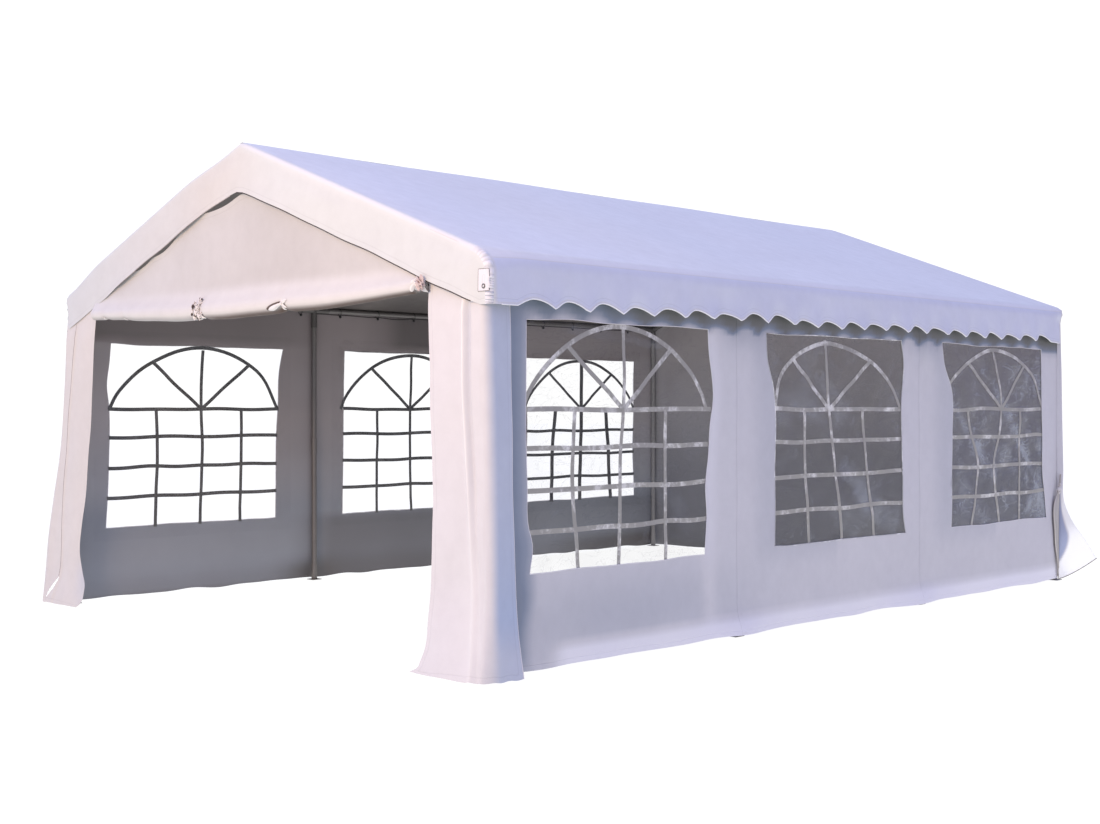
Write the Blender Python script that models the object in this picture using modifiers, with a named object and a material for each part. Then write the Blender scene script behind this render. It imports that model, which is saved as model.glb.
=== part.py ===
"""Marquee tent: a tubular steel frame of three bays under a white tarpaulin cover.

Metres, +Z up. The origin is on the ground under the middle of the tent. X runs across the
tent and Y along it, and the open gable faces -Y.
"""

import math

import bmesh
import bpy
from mathutils import Matrix, Vector

# Whole tent
SPAN = 4.0  # post centre to post centre across the tent
BAY = 1.96  # post centre to post centre along the tent
BAYS = 3
EAVE_HEIGHT = 2.038  # centre of the eave tubes
RIDGE_HEIGHT = 2.788  # centre of the ridge tube

# Clearances
FIT = 0.0003  # around a tube in its socket
SEAT = 0.0003  # between two pieces that touch

# Steel frame
TUBE_RADIUS = 0.019
SOCKET_WALL = 0.0022
SOCKET_DEPTH = 0.08
CONNECTOR_CORE = 0.05  # from a connector's centre to the bottom of its sockets
LEG_OVERLAP = 0.008  # how far a connector's legs run past its centre
FOOT_STUB_HEIGHT = 0.12
FOOT_PLATE_SIZE = 0.08
FOOT_PLATE_THICKNESS = 0.004
MID_SLEEVE_HEIGHT = 1.01
MID_SLEEVE_LENGTH = 0.12
TUBE_SIDES = 16

# Roof cover
COVER_THICKNESS = 0.003
EAVE_BEND_RADIUS = 0.085
EAVE_BEND_STEPS = 6
GABLE_BAND_DEPTH = 0.265
SCALLOP_COUNT = 22
SCALLOP_PITCH = 0.249
SCALLOP_DEPTH = 0.046
SCALLOP_TIP = 0.004  # how far the tips stay above the flat ends of the valance
SCALLOP_STEPS = 6

# Walls
WALL_THICKNESS = 0.003
HEM_GAP = 0.002  # between the end walls' hems and the ground
FLAP_LENGTH = 0.15  # how far an end wall wraps past the middle of its corner post
CORNER_STEPS = 5
END_FLARE = 0.07  # how far the hem of an end wall stands out
FLAP_CORNER_FLARE = 0.03
FLAP_END_FLARE = 0.105
FLARE_HEIGHT = 0.56
FLARE_STEPS = 4

# Doorway and the door rolled up above it
DOORWAY_WIDTH = 3.3
ROLL_LENGTH = 3.2
ROLL_TOP = 1.925  # at the middle of the roll
ROLL_RISE = 0.015  # how much higher the roll's ends hang
ROLL_RADIUS = 0.062
ROLL_END_RADIUS = 0.036
ROLL_STEPS = 20
ROLL_BEVEL_RESOLUTION = 4

# Windows
WINDOW_WIDTH = 1.42
WINDOW_PITCH = 1.98
WINDOW_SILL = 0.485
WINDOW_HEIGHT = 1.25
PANE_LAP = 0.015
PANE_THICKNESS = 0.002

# Sizes that follow from the ones above
HALF_SPAN = SPAN / 2
HALF_LENGTH = BAY * BAYS / 2
SLEEVE_RADIUS = TUBE_RADIUS + FIT + SOCKET_WALL
CONNECTOR_LEG = CONNECTOR_CORE + SOCKET_DEPTH
PITCH_ANGLE = math.atan2(RIDGE_HEIGHT - EAVE_HEIGHT, HALF_SPAN)
PITCH_SLOPE = (RIDGE_HEIGHT - EAVE_HEIGHT) / HALF_SPAN
COVER_INNER_APEX = RIDGE_HEIGHT + (SLEEVE_RADIUS + SEAT) / math.cos(PITCH_ANGLE)
COVER_OUTER_APEX = COVER_INNER_APEX + COVER_THICKNESS / math.cos(PITCH_ANGLE)
SIDE_WALL_INNER = HALF_SPAN + SLEEVE_RADIUS + SEAT
FLAP_INNER = SIDE_WALL_INNER + WALL_THICKNESS + SEAT
END_WALL_INNER = HALF_LENGTH + SLEEVE_RADIUS + SEAT
COVER_INNER_HALF_LENGTH = END_WALL_INNER + WALL_THICKNESS + SEAT
COVER_HALF_LENGTH = COVER_INNER_HALF_LENGTH + COVER_THICKNESS
EAVE_BEND_START = HALF_SPAN + SLEEVE_RADIUS
VALANCE_INNER = EAVE_BEND_START + EAVE_BEND_RADIUS * (1 - math.sin(PITCH_ANGLE))
VALANCE_OUTER = VALANCE_INNER + COVER_THICKNESS
VALANCE_BOTTOM = COVER_OUTER_APEX - PITCH_SLOPE * VALANCE_OUTER - GABLE_BAND_DEPTH
CUTTER_MARGIN = 0.2  # how far a cutter runs past what it cuts


def clear_scene():
    for old in list(bpy.data.objects):
        bpy.data.objects.remove(old, do_unlink=True)


def new_collection(name):
    collection = bpy.data.collections.new(name)
    bpy.context.scene.collection.children.link(collection)
    return collection


clear_scene()
TENT = new_collection("marquee_tent")
CUTTERS = new_collection("cutters")
TENT_EMPTY = bpy.data.objects.new("marquee_tent_origin", None)
TENT.objects.link(TENT_EMPTY)


def material(name, colour, roughness, metallic=0.0, alpha=1.0):
    made = bpy.data.materials.new(name)
    made.use_nodes = True
    shader = made.node_tree.nodes["Principled BSDF"]
    shader.inputs["Base Color"].default_value = (*colour, 1.0)
    shader.inputs["Roughness"].default_value = roughness
    shader.inputs["Metallic"].default_value = metallic
    shader.inputs["Alpha"].default_value = alpha
    return made


TUBE_STEEL = material("tube_steel", (0.55, 0.56, 0.58), 0.45, metallic=0.8)
CONNECTOR_STEEL = material("connector_steel", (0.42, 0.43, 0.45), 0.5, metallic=0.8)
WHITE_TARPAULIN = material("white_tarpaulin", (0.86, 0.85, 0.87), 0.5)
CLEAR_FILM = material("clear_film", (0.75, 0.77, 0.78), 0.1, alpha=0.35)


def add_part(name, mesh, look):
    part = bpy.data.objects.new(name, mesh)
    part.data.materials.clear()
    part.data.materials.append(look)
    TENT.objects.link(part)
    part.parent = TENT_EMPTY
    return part


def add_cutter(name, mesh):
    cutter = bpy.data.objects.new(name, mesh)
    CUTTERS.objects.link(cutter)
    cutter.hide_render = True
    cutter.display_type = "WIRE"
    return cutter


def combine(target, other, operation, solver="EXACT"):
    step = target.modifiers.new(f"{operation.lower()} {other.name}", "BOOLEAN")
    step.operation = operation
    step.object = other
    step.solver = solver


def mesh_of(source):
    """Return the evaluated shape of an object as a mesh with welded caps."""
    bpy.context.view_layer.update()
    evaluated = source.evaluated_get(bpy.context.evaluated_depsgraph_get())
    mesh = bpy.data.meshes.new_from_object(evaluated)
    mesh.transform(source.matrix_world)
    shape = bmesh.new()
    shape.from_mesh(mesh)
    bmesh.ops.remove_doubles(shape, verts=shape.verts, dist=0.000001)
    shape.to_mesh(mesh)
    shape.free()
    return mesh


def box_mesh(name, low, high):
    low = Vector(low)
    high = Vector(high)
    size = Matrix.Diagonal((*(high - low), 1.0))
    shape = bmesh.new()
    bmesh.ops.create_cube(shape, size=1.0, matrix=Matrix.Translation((low + high) / 2) @ size)
    mesh = bpy.data.meshes.new(name)
    shape.to_mesh(mesh)
    shape.free()
    return mesh


def facet_turn(along):
    """Return how far a bar's sides are turned, so that no two crossing legs share a tangent edge."""
    facet = 2 * math.pi / TUBE_SIDES
    if abs(along.y) > 0:
        return facet / 2
    return facet / 4 if abs(along.x) > 0 else 0.0


def rod_mesh(name, start, end, radius):
    """Return a round bar between two points."""
    start = Vector(start)
    end = Vector(end)
    along = end - start
    forward = along if along.x + along.y >= 0 else -along
    turn = Matrix.Rotation(facet_turn(along), 4, "Z")
    aim = forward.to_track_quat("Z", "Y").to_matrix().to_4x4()
    place = Matrix.Translation((start + end) / 2) @ aim @ turn
    shape = bmesh.new()
    bmesh.ops.create_cone(
        shape,
        cap_ends=True,
        segments=TUBE_SIDES,
        radius1=radius,
        radius2=radius,
        depth=along.length,
        matrix=place,
    )
    mesh = bpy.data.meshes.new(name)
    shape.to_mesh(mesh)
    shape.free()
    return mesh


def shade_round(mesh):
    mesh.shade_smooth()
    mesh.set_sharp_from_angle(angle=math.radians(30))


def prism_mesh(name, outline, half_depth, depth_axis):
    """Return a solid with the given outline, extruded both ways along X or Y."""
    flat = bpy.data.curves.new(name, "CURVE")
    flat.dimensions = "2D"
    flat.fill_mode = "BOTH"
    flat.extrude = half_depth
    spline = flat.splines.new("POLY")
    spline.points.add(len(outline) - 1)
    for point, (across, height) in zip(spline.points, outline):
        point.co = (across, height, 0.0, 1.0)
    spline.use_cyclic_u = True
    source = bpy.data.objects.new(name, flat)
    CUTTERS.objects.link(source)
    if depth_axis == "Y":
        source.matrix_world = Matrix(((1, 0, 0, 0), (0, 0, -1, 0), (0, 1, 0, 0), (0, 0, 0, 1)))
    else:
        source.matrix_world = Matrix(((0, 0, 1, 0), (1, 0, 0, 0), (0, 1, 0, 0), (0, 0, 0, 1)))
    mesh = mesh_of(source)
    bpy.data.objects.remove(source)
    return mesh


# Steel frame: posts, eave and ridge tubes, rafters and the sockets that join them

def frame_places():
    """Yield each frame's number, counted from the open gable, and its place along Y."""
    for number in range(BAYS + 1):
        yield number + 1, -HALF_LENGTH + number * BAY


def post_mesh():
    """Return a post with its foot stub, middle sleeve and welded foot plate."""
    tube_top = EAVE_HEIGHT - CONNECTOR_CORE - SEAT
    sleeve_top = MID_SLEEVE_HEIGHT + MID_SLEEVE_LENGTH / 2
    sleeve_bottom = MID_SLEEVE_HEIGHT - MID_SLEEVE_LENGTH / 2
    outline = [
        (0.0, tube_top),
        (TUBE_RADIUS, tube_top),
        (TUBE_RADIUS, sleeve_top),
        (SLEEVE_RADIUS, sleeve_top),
        (SLEEVE_RADIUS, sleeve_bottom),
        (TUBE_RADIUS, sleeve_bottom),
        (TUBE_RADIUS, FOOT_STUB_HEIGHT),
        (SLEEVE_RADIUS, FOOT_STUB_HEIGHT),
        (SLEEVE_RADIUS, FOOT_PLATE_THICKNESS / 2),
        (0.0, FOOT_PLATE_THICKNESS / 2),
    ]
    profile = bpy.data.meshes.new("post_profile")
    edges = [(first, first + 1) for first in range(len(outline) - 1)]
    profile.from_pydata([(radius, 0.0, height) for radius, height in outline], edges, [])
    turned = bpy.data.objects.new("post_profile", profile)
    CUTTERS.objects.link(turned)
    screw = turned.modifiers.new("turn", "SCREW")
    screw.steps = TUBE_SIDES
    screw.render_steps = TUBE_SIDES
    screw.use_merge_vertices = True
    screw.merge_threshold = 0.00001
    half_plate = FOOT_PLATE_SIZE / 2
    plate = add_cutter(
        "foot_plate",
        box_mesh("foot_plate", (-half_plate, -half_plate, 0), (half_plate, half_plate, FOOT_PLATE_THICKNESS)),
    )
    combine(turned, plate, "UNION")
    mesh = mesh_of(turned)
    bpy.data.objects.remove(turned)
    bpy.data.objects.remove(plate)
    shade_round(mesh)
    return mesh


def connector_mesh(name, directions):
    """Return a connector whose legs point along the given unit directions."""
    legs = []
    bores = []
    for number, direction in enumerate(directions):
        leg = rod_mesh(name, direction * -LEG_OVERLAP, direction * CONNECTOR_LEG, SLEEVE_RADIUS)
        legs.append(add_cutter(f"{name}_leg_{number}", leg))
        bore_end = direction * (CONNECTOR_LEG + CUTTER_MARGIN)
        bore = rod_mesh(name, direction * CONNECTOR_CORE, bore_end, TUBE_RADIUS + FIT)
        bores.append(add_cutter(f"{name}_bore_{number}", bore))
    for leg in legs[1:]:
        combine(legs[0], leg, "UNION", solver="MANIFOLD")
    for bore in bores:
        combine(legs[0], bore, "DIFFERENCE", solver="MANIFOLD")
    mesh = mesh_of(legs[0])
    for used in legs + bores:
        bpy.data.objects.remove(used)
    shade_round(mesh)
    return mesh


def add_tube(name, first_centre, second_centre):
    """Add a tube that is seated in the sockets of two connectors."""
    first = Vector(first_centre)
    second = Vector(second_centre)
    inset = (second - first).normalized() * (CONNECTOR_CORE + SEAT)
    mesh = rod_mesh(name, first + inset, second - inset, TUBE_RADIUS)
    shade_round(mesh)
    add_part(name, mesh, TUBE_STEEL)


def lengthwise_legs(number):
    """Return the directions of a connector's legs along the tent."""
    legs = []
    if number > 1:
        legs.append(Vector((0, -1, 0)))
    if number <= BAYS:
        legs.append(Vector((0, 1, 0)))
    return legs


def build_frame():
    post = post_mesh()
    rafter_rise = math.sin(PITCH_ANGLE)
    rafter_run = math.cos(PITCH_ANGLE)
    for number, along in frame_places():
        ridge_centre = Vector((0, along, RIDGE_HEIGHT))
        ridge_legs = [Vector((side * rafter_run, 0, -rafter_rise)) for side in (-1, 1)]
        ridge_name = f"ridge_connector_{number}"
        ridge_mesh = connector_mesh(ridge_name, ridge_legs + lengthwise_legs(number))
        add_part(ridge_name, ridge_mesh, CONNECTOR_STEEL).location = ridge_centre
        for side_name, side in (("left", -1), ("right", 1)):
            eave_centre = Vector((side * HALF_SPAN, along, EAVE_HEIGHT))
            add_part(f"{side_name}_post_{number}", post, TUBE_STEEL).location = (side * HALF_SPAN, along, 0)
            eave_legs = [Vector((0, 0, -1)), Vector((-side * rafter_run, 0, rafter_rise))]
            eave_name = f"{side_name}_eave_connector_{number}"
            eave_mesh = connector_mesh(eave_name, eave_legs + lengthwise_legs(number))
            add_part(eave_name, eave_mesh, CONNECTOR_STEEL).location = eave_centre
            add_tube(f"{side_name}_rafter_{number}", eave_centre, ridge_centre)
            if number <= BAYS:
                add_tube(f"{side_name}_eave_tube_{number}", eave_centre, eave_centre + Vector((0, BAY, 0)))
        if number <= BAYS:
            add_tube(f"ridge_tube_{number}", ridge_centre, ridge_centre + Vector((0, BAY, 0)))


build_frame()


# Roof cover: two slopes, a scalloped valance down each side and a straight band on each gable

def cover_outline(apex, bend_radius, wall_face, bottom):
    """Return the cover's cross-section, from the bottom left over the ridge to the bottom right."""
    bend_centre_x = wall_face - bend_radius
    slope_at_bend = apex - PITCH_SLOPE * bend_centre_x
    bend_centre_z = slope_at_bend - bend_radius / math.cos(PITCH_ANGLE)
    bend_end = math.pi / 2 - PITCH_ANGLE
    right = [(wall_face, bottom)]
    for step in range(EAVE_BEND_STEPS + 1):
        angle = bend_end * step / EAVE_BEND_STEPS
        across = bend_centre_x + bend_radius * math.cos(angle)
        right.append((across, bend_centre_z + bend_radius * math.sin(angle)))
    left = [(-across, height) for across, height in right]
    return left + [(0.0, apex)] + right[::-1]


def scallop_outline():
    """Return the shape below the valance's scalloped edge, in Y and Z."""
    half_run = SCALLOP_COUNT * SCALLOP_PITCH / 2
    tips = VALANCE_BOTTOM + SCALLOP_TIP
    steps = SCALLOP_COUNT * SCALLOP_STEPS
    outline = [(half_run, VALANCE_BOTTOM - CUTTER_MARGIN), (-half_run, VALANCE_BOTTOM - CUTTER_MARGIN)]
    for step in range(steps + 1):
        wave = abs(math.sin(math.pi * step / SCALLOP_STEPS))
        along = -half_run + 2 * half_run * step / steps
        outline.append((along, tips + SCALLOP_DEPTH * wave))
    return outline


def build_roof_cover():
    outer = cover_outline(
        COVER_OUTER_APEX, EAVE_BEND_RADIUS + COVER_THICKNESS, VALANCE_OUTER, VALANCE_BOTTOM)
    inner = cover_outline(
        COVER_INNER_APEX, EAVE_BEND_RADIUS, VALANCE_INNER, VALANCE_BOTTOM - CUTTER_MARGIN)
    band_edge = COVER_OUTER_APEX - GABLE_BAND_DEPTH
    gable_opening = [
        (0.0, band_edge),
        (-VALANCE_INNER, band_edge - PITCH_SLOPE * VALANCE_INNER),
        (-VALANCE_INNER, VALANCE_BOTTOM - CUTTER_MARGIN),
        (VALANCE_INNER, VALANCE_BOTTOM - CUTTER_MARGIN),
        (VALANCE_INNER, band_edge - PITCH_SLOPE * VALANCE_INNER),
    ]
    cover = add_part("roof_cover", prism_mesh("roof_cover", outer, COVER_HALF_LENGTH, "Y"), WHITE_TARPAULIN)
    hollow = add_cutter("cover_hollow", prism_mesh("cover_hollow", inner, COVER_INNER_HALF_LENGTH, "Y"))
    gables = add_cutter(
        "gable_openings",
        prism_mesh("gable_openings", gable_opening, COVER_HALF_LENGTH + CUTTER_MARGIN, "Y"),
    )
    scallops = add_cutter(
        "valance_scallops", prism_mesh("valance_scallops", scallop_outline(), SPAN, "X"))
    for cutter in (hollow, gables, scallops):
        combine(cover, cutter, "DIFFERENCE")


build_roof_cover()


# End walls: gable panels that wrap round the corner posts, with hems that stand out at the ground

def end_wall_path():
    """Return half an end wall in plan, seen from the open gable.

    Each point has its place, the direction in which its hem stands out and how far.
    """
    middle = WALL_THICKNESS / 2
    face = -(END_WALL_INNER + middle)
    corner_radius = TUBE_RADIUS + middle
    corner_x = FLAP_INNER + middle - corner_radius
    corner_y = face + corner_radius
    flap_end = -HALF_LENGTH + FLAP_LENGTH
    path = [
        (0.0, face, 0.0, -1.0, END_FLARE),
        (DOORWAY_WIDTH / 2 + PANE_LAP, face, 0.0, -1.0, END_FLARE),
        (HALF_SPAN - SLEEVE_RADIUS, face, 0.0, -1.0, END_FLARE),
    ]
    for step in range(CORNER_STEPS + 1):
        share = step / CORNER_STEPS
        angle = math.pi / 2 * share
        out_x = math.sin(angle)
        out_y = -math.cos(angle)
        flare = END_FLARE + (FLAP_CORNER_FLARE - END_FLARE) * share
        corner = (corner_x + corner_radius * out_x, corner_y + corner_radius * out_y)
        path.append((*corner, out_x, out_y, flare))
    path.append((corner_x + corner_radius, flap_end, 1.0, 0.0, FLAP_END_FLARE))
    return path


def end_wall_mesh(name, facing):
    """Return an end wall's sheet: facing is -1 for the open gable and 1 for the closed one."""
    right = end_wall_path()
    left = [(-x, y, -out_x, out_y, flare) for x, y, out_x, out_y, flare in right[:0:-1]]
    path = left + right
    rows = FLARE_STEPS + 1
    shape = bmesh.new()
    bmesh.ops.create_grid(shape, x_segments=len(path) - 1, y_segments=rows, size=1.0)
    for vertex in shape.verts:
        column = round((vertex.co.x + 1) / 2 * (len(path) - 1))
        row = round((vertex.co.y + 1) / 2 * rows)
        x, y, out_x, out_y, flare = path[column]
        roof_line = COVER_INNER_APEX - PITCH_SLOPE * abs(x) - SEAT
        top = roof_line if abs(x) < HALF_SPAN else EAVE_HEIGHT
        height = HEM_GAP + (FLARE_HEIGHT - HEM_GAP) * row / FLARE_STEPS if row < rows else top
        stand_out = flare * max(0.0, 1 - height / FLARE_HEIGHT) ** 2
        vertex.co = (x + out_x * stand_out, -facing * (y + out_y * stand_out), height)
    mesh = bpy.data.meshes.new(name)
    shape.to_mesh(mesh)
    shape.free()
    return mesh


def roll_top(across):
    """Return the height of the top of the rolled door."""
    return ROLL_TOP + ROLL_RISE * (2 * across / ROLL_LENGTH) ** 2


def roll_radius(across):
    return ROLL_RADIUS + (ROLL_END_RADIUS - ROLL_RADIUS) * (2 * across / ROLL_LENGTH) ** 2


def roll_stations():
    """Return the places across the tent at which the rolled door is drawn."""
    return [ROLL_LENGTH * (step / ROLL_STEPS - 0.5) for step in range(ROLL_STEPS + 1)]


def add_end_wall(name, facing):
    wall = add_part(name, end_wall_mesh(name, facing), WHITE_TARPAULIN)
    sheet = wall.modifiers.new("sheet", "SOLIDIFY")
    sheet.thickness = WALL_THICKNESS
    sheet.offset = 0.0
    sheet.use_even_offset = True
    return wall


def build_end_walls():
    front = add_end_wall("front_end_wall", -1)
    add_end_wall("rear_end_wall", 1)
    half_width = DOORWAY_WIDTH / 2
    doorway = [(half_width, -CUTTER_MARGIN), (-half_width, -CUTTER_MARGIN)]
    doorway.append((-half_width, roll_top(ROLL_LENGTH / 2) + SEAT))
    doorway.extend((across, roll_top(across) + SEAT) for across in roll_stations())
    doorway.append((half_width, roll_top(ROLL_LENGTH / 2) + SEAT))
    depth = END_FLARE + CUTTER_MARGIN
    cutter = add_cutter("doorway", prism_mesh("doorway", doorway, depth, "Y"))
    cutter.location.y = -END_WALL_INNER
    combine(front, cutter, "DIFFERENCE")


def build_door_roll():
    """Add the front door's sheet, rolled up under the gable panel."""
    bend = bpy.data.curves.new("front_door_roll", "CURVE")
    bend.dimensions = "3D"
    bend.bevel_depth = 1.0
    bend.bevel_resolution = ROLL_BEVEL_RESOLUTION
    bend.use_fill_caps = True
    spline = bend.splines.new("POLY")
    stations = roll_stations()
    spline.points.add(len(stations) - 1)
    middle = -(END_WALL_INNER + WALL_THICKNESS / 2)
    for point, across in zip(spline.points, stations):
        point.co = (across, middle, roll_top(across) - roll_radius(across), 1.0)
        point.radius = roll_radius(across)
    source = bpy.data.objects.new("front_door_roll", bend)
    CUTTERS.objects.link(source)
    mesh = mesh_of(source)
    bpy.data.objects.remove(source)
    shade_round(mesh)
    add_part("front_door_roll", mesh, WHITE_TARPAULIN)


build_end_walls()
build_door_roll()


# Side walls: a flat sheet outside the posts with three windows, each closed by clear film

def window_centres():
    return [WINDOW_PITCH * (bay - (BAYS - 1) / 2) for bay in range(BAYS)]


def side_box(name, side, near, far, along_low, along_high, bottom, top):
    """Return a box on one side of the tent, between two distances from its middle."""
    across = sorted((side * near, side * far))
    return box_mesh(name, (across[0], along_low, bottom), (across[1], along_high, top))


def build_side_walls():
    half_window = WINDOW_WIDTH / 2
    window_top = WINDOW_SILL + WINDOW_HEIGHT
    wall_outer = SIDE_WALL_INNER + WALL_THICKNESS
    pane_outer = SIDE_WALL_INNER - SEAT
    for side_name, side in (("left", -1), ("right", 1)):
        wall_name = f"{side_name}_side_wall"
        hem = FOOT_PLATE_THICKNESS + SEAT
        sheet = side_box(
            wall_name, side, SIDE_WALL_INNER, wall_outer, -HALF_LENGTH, HALF_LENGTH, hem, EAVE_HEIGHT)
        wall = add_part(wall_name, sheet, WHITE_TARPAULIN)
        for number, centre in enumerate(window_centres(), start=1):
            name = f"{side_name}_window_{number}"
            opening = side_box(
                name,
                side,
                SIDE_WALL_INNER - CUTTER_MARGIN,
                wall_outer + CUTTER_MARGIN,
                centre - half_window,
                centre + half_window,
                WINDOW_SILL,
                window_top,
            )
            combine(wall, add_cutter(f"{name}_opening", opening), "DIFFERENCE")
            pane = side_box(
                name,
                side,
                pane_outer - PANE_THICKNESS,
                pane_outer,
                centre - half_window - PANE_LAP,
                centre + half_window + PANE_LAP,
                WINDOW_SILL - PANE_LAP,
                window_top + PANE_LAP,
            )
            add_part(f"{name}_pane", pane, CLEAR_FILM)


build_side_walls()
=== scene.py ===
import math

import bpy
import numpy as np
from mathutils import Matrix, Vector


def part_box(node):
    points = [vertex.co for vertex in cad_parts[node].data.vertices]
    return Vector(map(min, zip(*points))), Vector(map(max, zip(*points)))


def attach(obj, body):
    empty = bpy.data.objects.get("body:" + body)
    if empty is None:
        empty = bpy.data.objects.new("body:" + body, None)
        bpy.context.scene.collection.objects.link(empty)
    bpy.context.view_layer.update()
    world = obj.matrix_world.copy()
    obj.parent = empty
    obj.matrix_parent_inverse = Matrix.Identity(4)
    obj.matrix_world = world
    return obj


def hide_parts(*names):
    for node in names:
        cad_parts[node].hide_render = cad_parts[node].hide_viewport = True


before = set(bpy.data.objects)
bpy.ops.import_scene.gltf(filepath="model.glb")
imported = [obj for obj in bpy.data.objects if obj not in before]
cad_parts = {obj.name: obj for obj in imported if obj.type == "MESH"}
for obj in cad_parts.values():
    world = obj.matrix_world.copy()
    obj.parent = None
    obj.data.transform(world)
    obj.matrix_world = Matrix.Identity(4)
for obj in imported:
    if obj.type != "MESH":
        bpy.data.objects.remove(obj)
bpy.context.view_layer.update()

bpy.ops.object.select_all(action="DESELECT")

# Camera: stands at eye height off the right corner of the open gable, as the photographer did.
camera_place = (7.234, -7.743, 1.2954)
camera_yaw = math.radians(44.796)  # turned left from looking along +Y
camera_pitch = math.radians(-0.138)
focal_pixels = 1491.34
picture_width = 1100
sensor_width = 36.0
bpy.ops.object.camera_add(
    location=camera_place, rotation=(math.pi / 2 + camera_pitch, 0.0, camera_yaw))
camera = bpy.context.object
camera.name = "camera"
camera.data.sensor_width = sensor_width
camera.data.lens = sensor_width * focal_pixels / picture_width
camera.data.clip_end = 300.0
bpy.context.scene.camera = camera
bpy.context.scene.view_settings.view_transform = "Standard"


# Studio: a white room with cool light from overhead, a warm soft lamp in front of the open gable, and a
# narrow one on the rear right corner. The side wall that the camera sees has only the room's light.
overhead_light = (0.915, 1.015, 1.425)
low_light = (0.35, 0.315, 0.56)
overhead_lean = 0.5  # the overhead light leans to the left, in radians
overhead_from = 0.2  # height on the leaning unit sphere where the low light ends
overhead_full = 0.6
lamp_place = (1.6, -8.0, 3.7)
lamp_target = (0.6, -2.9, 1.4)
lamp_power = 200.0
lamp_colour = (1.0, 0.70, 0.42)
lamp_size = 2.0
corner_lamp_place = (3.3, -6.0, 1.0)
corner_lamp_target = (2.22, 3.05, 0.20)
corner_lamp_power = 1100.0
corner_lamp_spread = math.radians(3.4)
floor_glow = 1.0
floor_grey = 0.07
floor_size = 160.0


def feed(tree, node, inputs):
    """Give each named input of a node a value, or link it to a socket."""
    for socket, value in inputs.items():
        if isinstance(value, bpy.types.NodeSocket):
            tree.links.new(value, node.inputs[socket])
        else:
            node.inputs[socket].default_value = value


def add_node(tree, kind, inputs, **settings):
    """Add a node, set its settings and feed its inputs."""
    node = tree.nodes.new(kind)
    for setting, value in settings.items():
        setattr(node, setting, value)
    feed(tree, node, inputs)
    return node


def place_in(tree, kind="Object"):
    """Return the place at which a finish is worked out."""
    return add_node(tree, "ShaderNodeTexCoord", {}).outputs[kind]


def attribute(tree, name):
    """Return a value that a sheet's points carry."""
    return add_node(tree, "ShaderNodeAttribute", {}, attribute_name=name).outputs["Fac"]


def noise(tree, place, scale, **inputs):
    """Return a cloudy value of about 0.3 to 0.7."""
    return add_node(tree, "ShaderNodeTexNoise", {"Vector": place, "Scale": scale, **inputs}).outputs["Fac"]


def calc(tree, operation, *values):
    """Return a sum, a product or the like."""
    return add_node(tree, "ShaderNodeMath", dict(enumerate(values)), operation=operation).outputs[0]


def remap(tree, value, start=(0.0, 1.0), to=(0.0, 1.0), **settings):
    """Return a value carried from its range at the start to another one, and held at both ends."""
    ranges = dict(zip(("From Min", "From Max", "To Min", "To Max"), (*start, *to)))
    return add_node(tree, "ShaderNodeMapRange", {"Value": value, **ranges}, **settings).outputs["Result"]


def mix(tree, share, first, second, blend_type="MIX"):
    """Return a blend of two colours, each given as three parts or as a socket."""
    sockets = {"Factor": share}
    for number, part in ((6, first), (7, second)):
        sockets[number] = part if isinstance(part, bpy.types.NodeSocket) else (*part, 1.0)
    return add_node(tree, "ShaderNodeMix", sockets, data_type="RGBA", blend_type=blend_type).outputs[2]


def dot(tree, vector, way):
    """Return how far a vector reaches along a direction."""
    node = add_node(tree, "ShaderNodeVectorMath", {0: vector, 1: way}, operation="DOT_PRODUCT")
    return node.outputs["Value"]


def bump(tree, height, strength, distance, **settings):
    """Return the normal of a surface with fine relief."""
    under = {"Normal": settings.pop("under")} if "under" in settings else {}
    return add_node(tree, "ShaderNodeBump", {
        "Height": height, "Strength": strength, "Distance": distance, **under}, **settings).outputs["Normal"]


def new_finish(name):
    """Return a new material with its node tree and its shader."""
    finish = bpy.data.materials.new(name)
    finish.use_nodes = True
    return finish, finish.node_tree, finish.node_tree.nodes["Principled BSDF"]


def add_lamp(name, kind, place, target, power, **settings):
    """Add a lamp that points at its target."""
    bpy.ops.object.light_add(type=kind, location=place)
    lamp = bpy.context.object
    lamp.name = name
    lamp.data.energy = power
    for setting, value in settings.items():
        setattr(lamp.data, setting, value)
    aim = lamp.location.copy()
    aim[:] = [to - at for to, at in zip(target, place)]
    lamp.rotation_euler = aim.to_track_quat("-Z", "Y").to_euler()


room = bpy.data.worlds.new("white_room")
room.use_nodes = True
bpy.context.scene.world = room
tree = room.node_tree
tree.nodes.clear()
leaning = dot(tree, place_in(tree, "Generated"), (-math.sin(overhead_lean), 0.0, math.cos(overhead_lean)))
sky = mix(tree, remap(tree, leaning, (overhead_from, overhead_full)), low_light, overhead_light)
room_light = add_node(tree, "ShaderNodeBackground", {"Color": sky})
backdrop = add_node(tree, "ShaderNodeBackground", {"Color": (1.1, 1.1, 1.1, 1.0)})
seen = add_node(tree, "ShaderNodeLightPath", {})
mixed = add_node(tree, "ShaderNodeMixShader", {
    0: seen.outputs["Is Camera Ray"], 1: room_light.outputs[0], 2: backdrop.outputs[0]})
add_node(tree, "ShaderNodeOutputWorld", {"Surface": mixed.outputs[0]})

add_lamp(
    "warm_lamp", "AREA", lamp_place, lamp_target, lamp_power, shape="DISK", size=lamp_size, color=lamp_colour)
# A narrow lamp on the right picks out the corner of the rear wall that stands out at the ground
add_lamp(
    "corner_lamp", "SPOT", corner_lamp_place, corner_lamp_target, corner_lamp_power,
    spot_size=corner_lamp_spread, spot_blend=0.7, shadow_soft_size=0.05)

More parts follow.
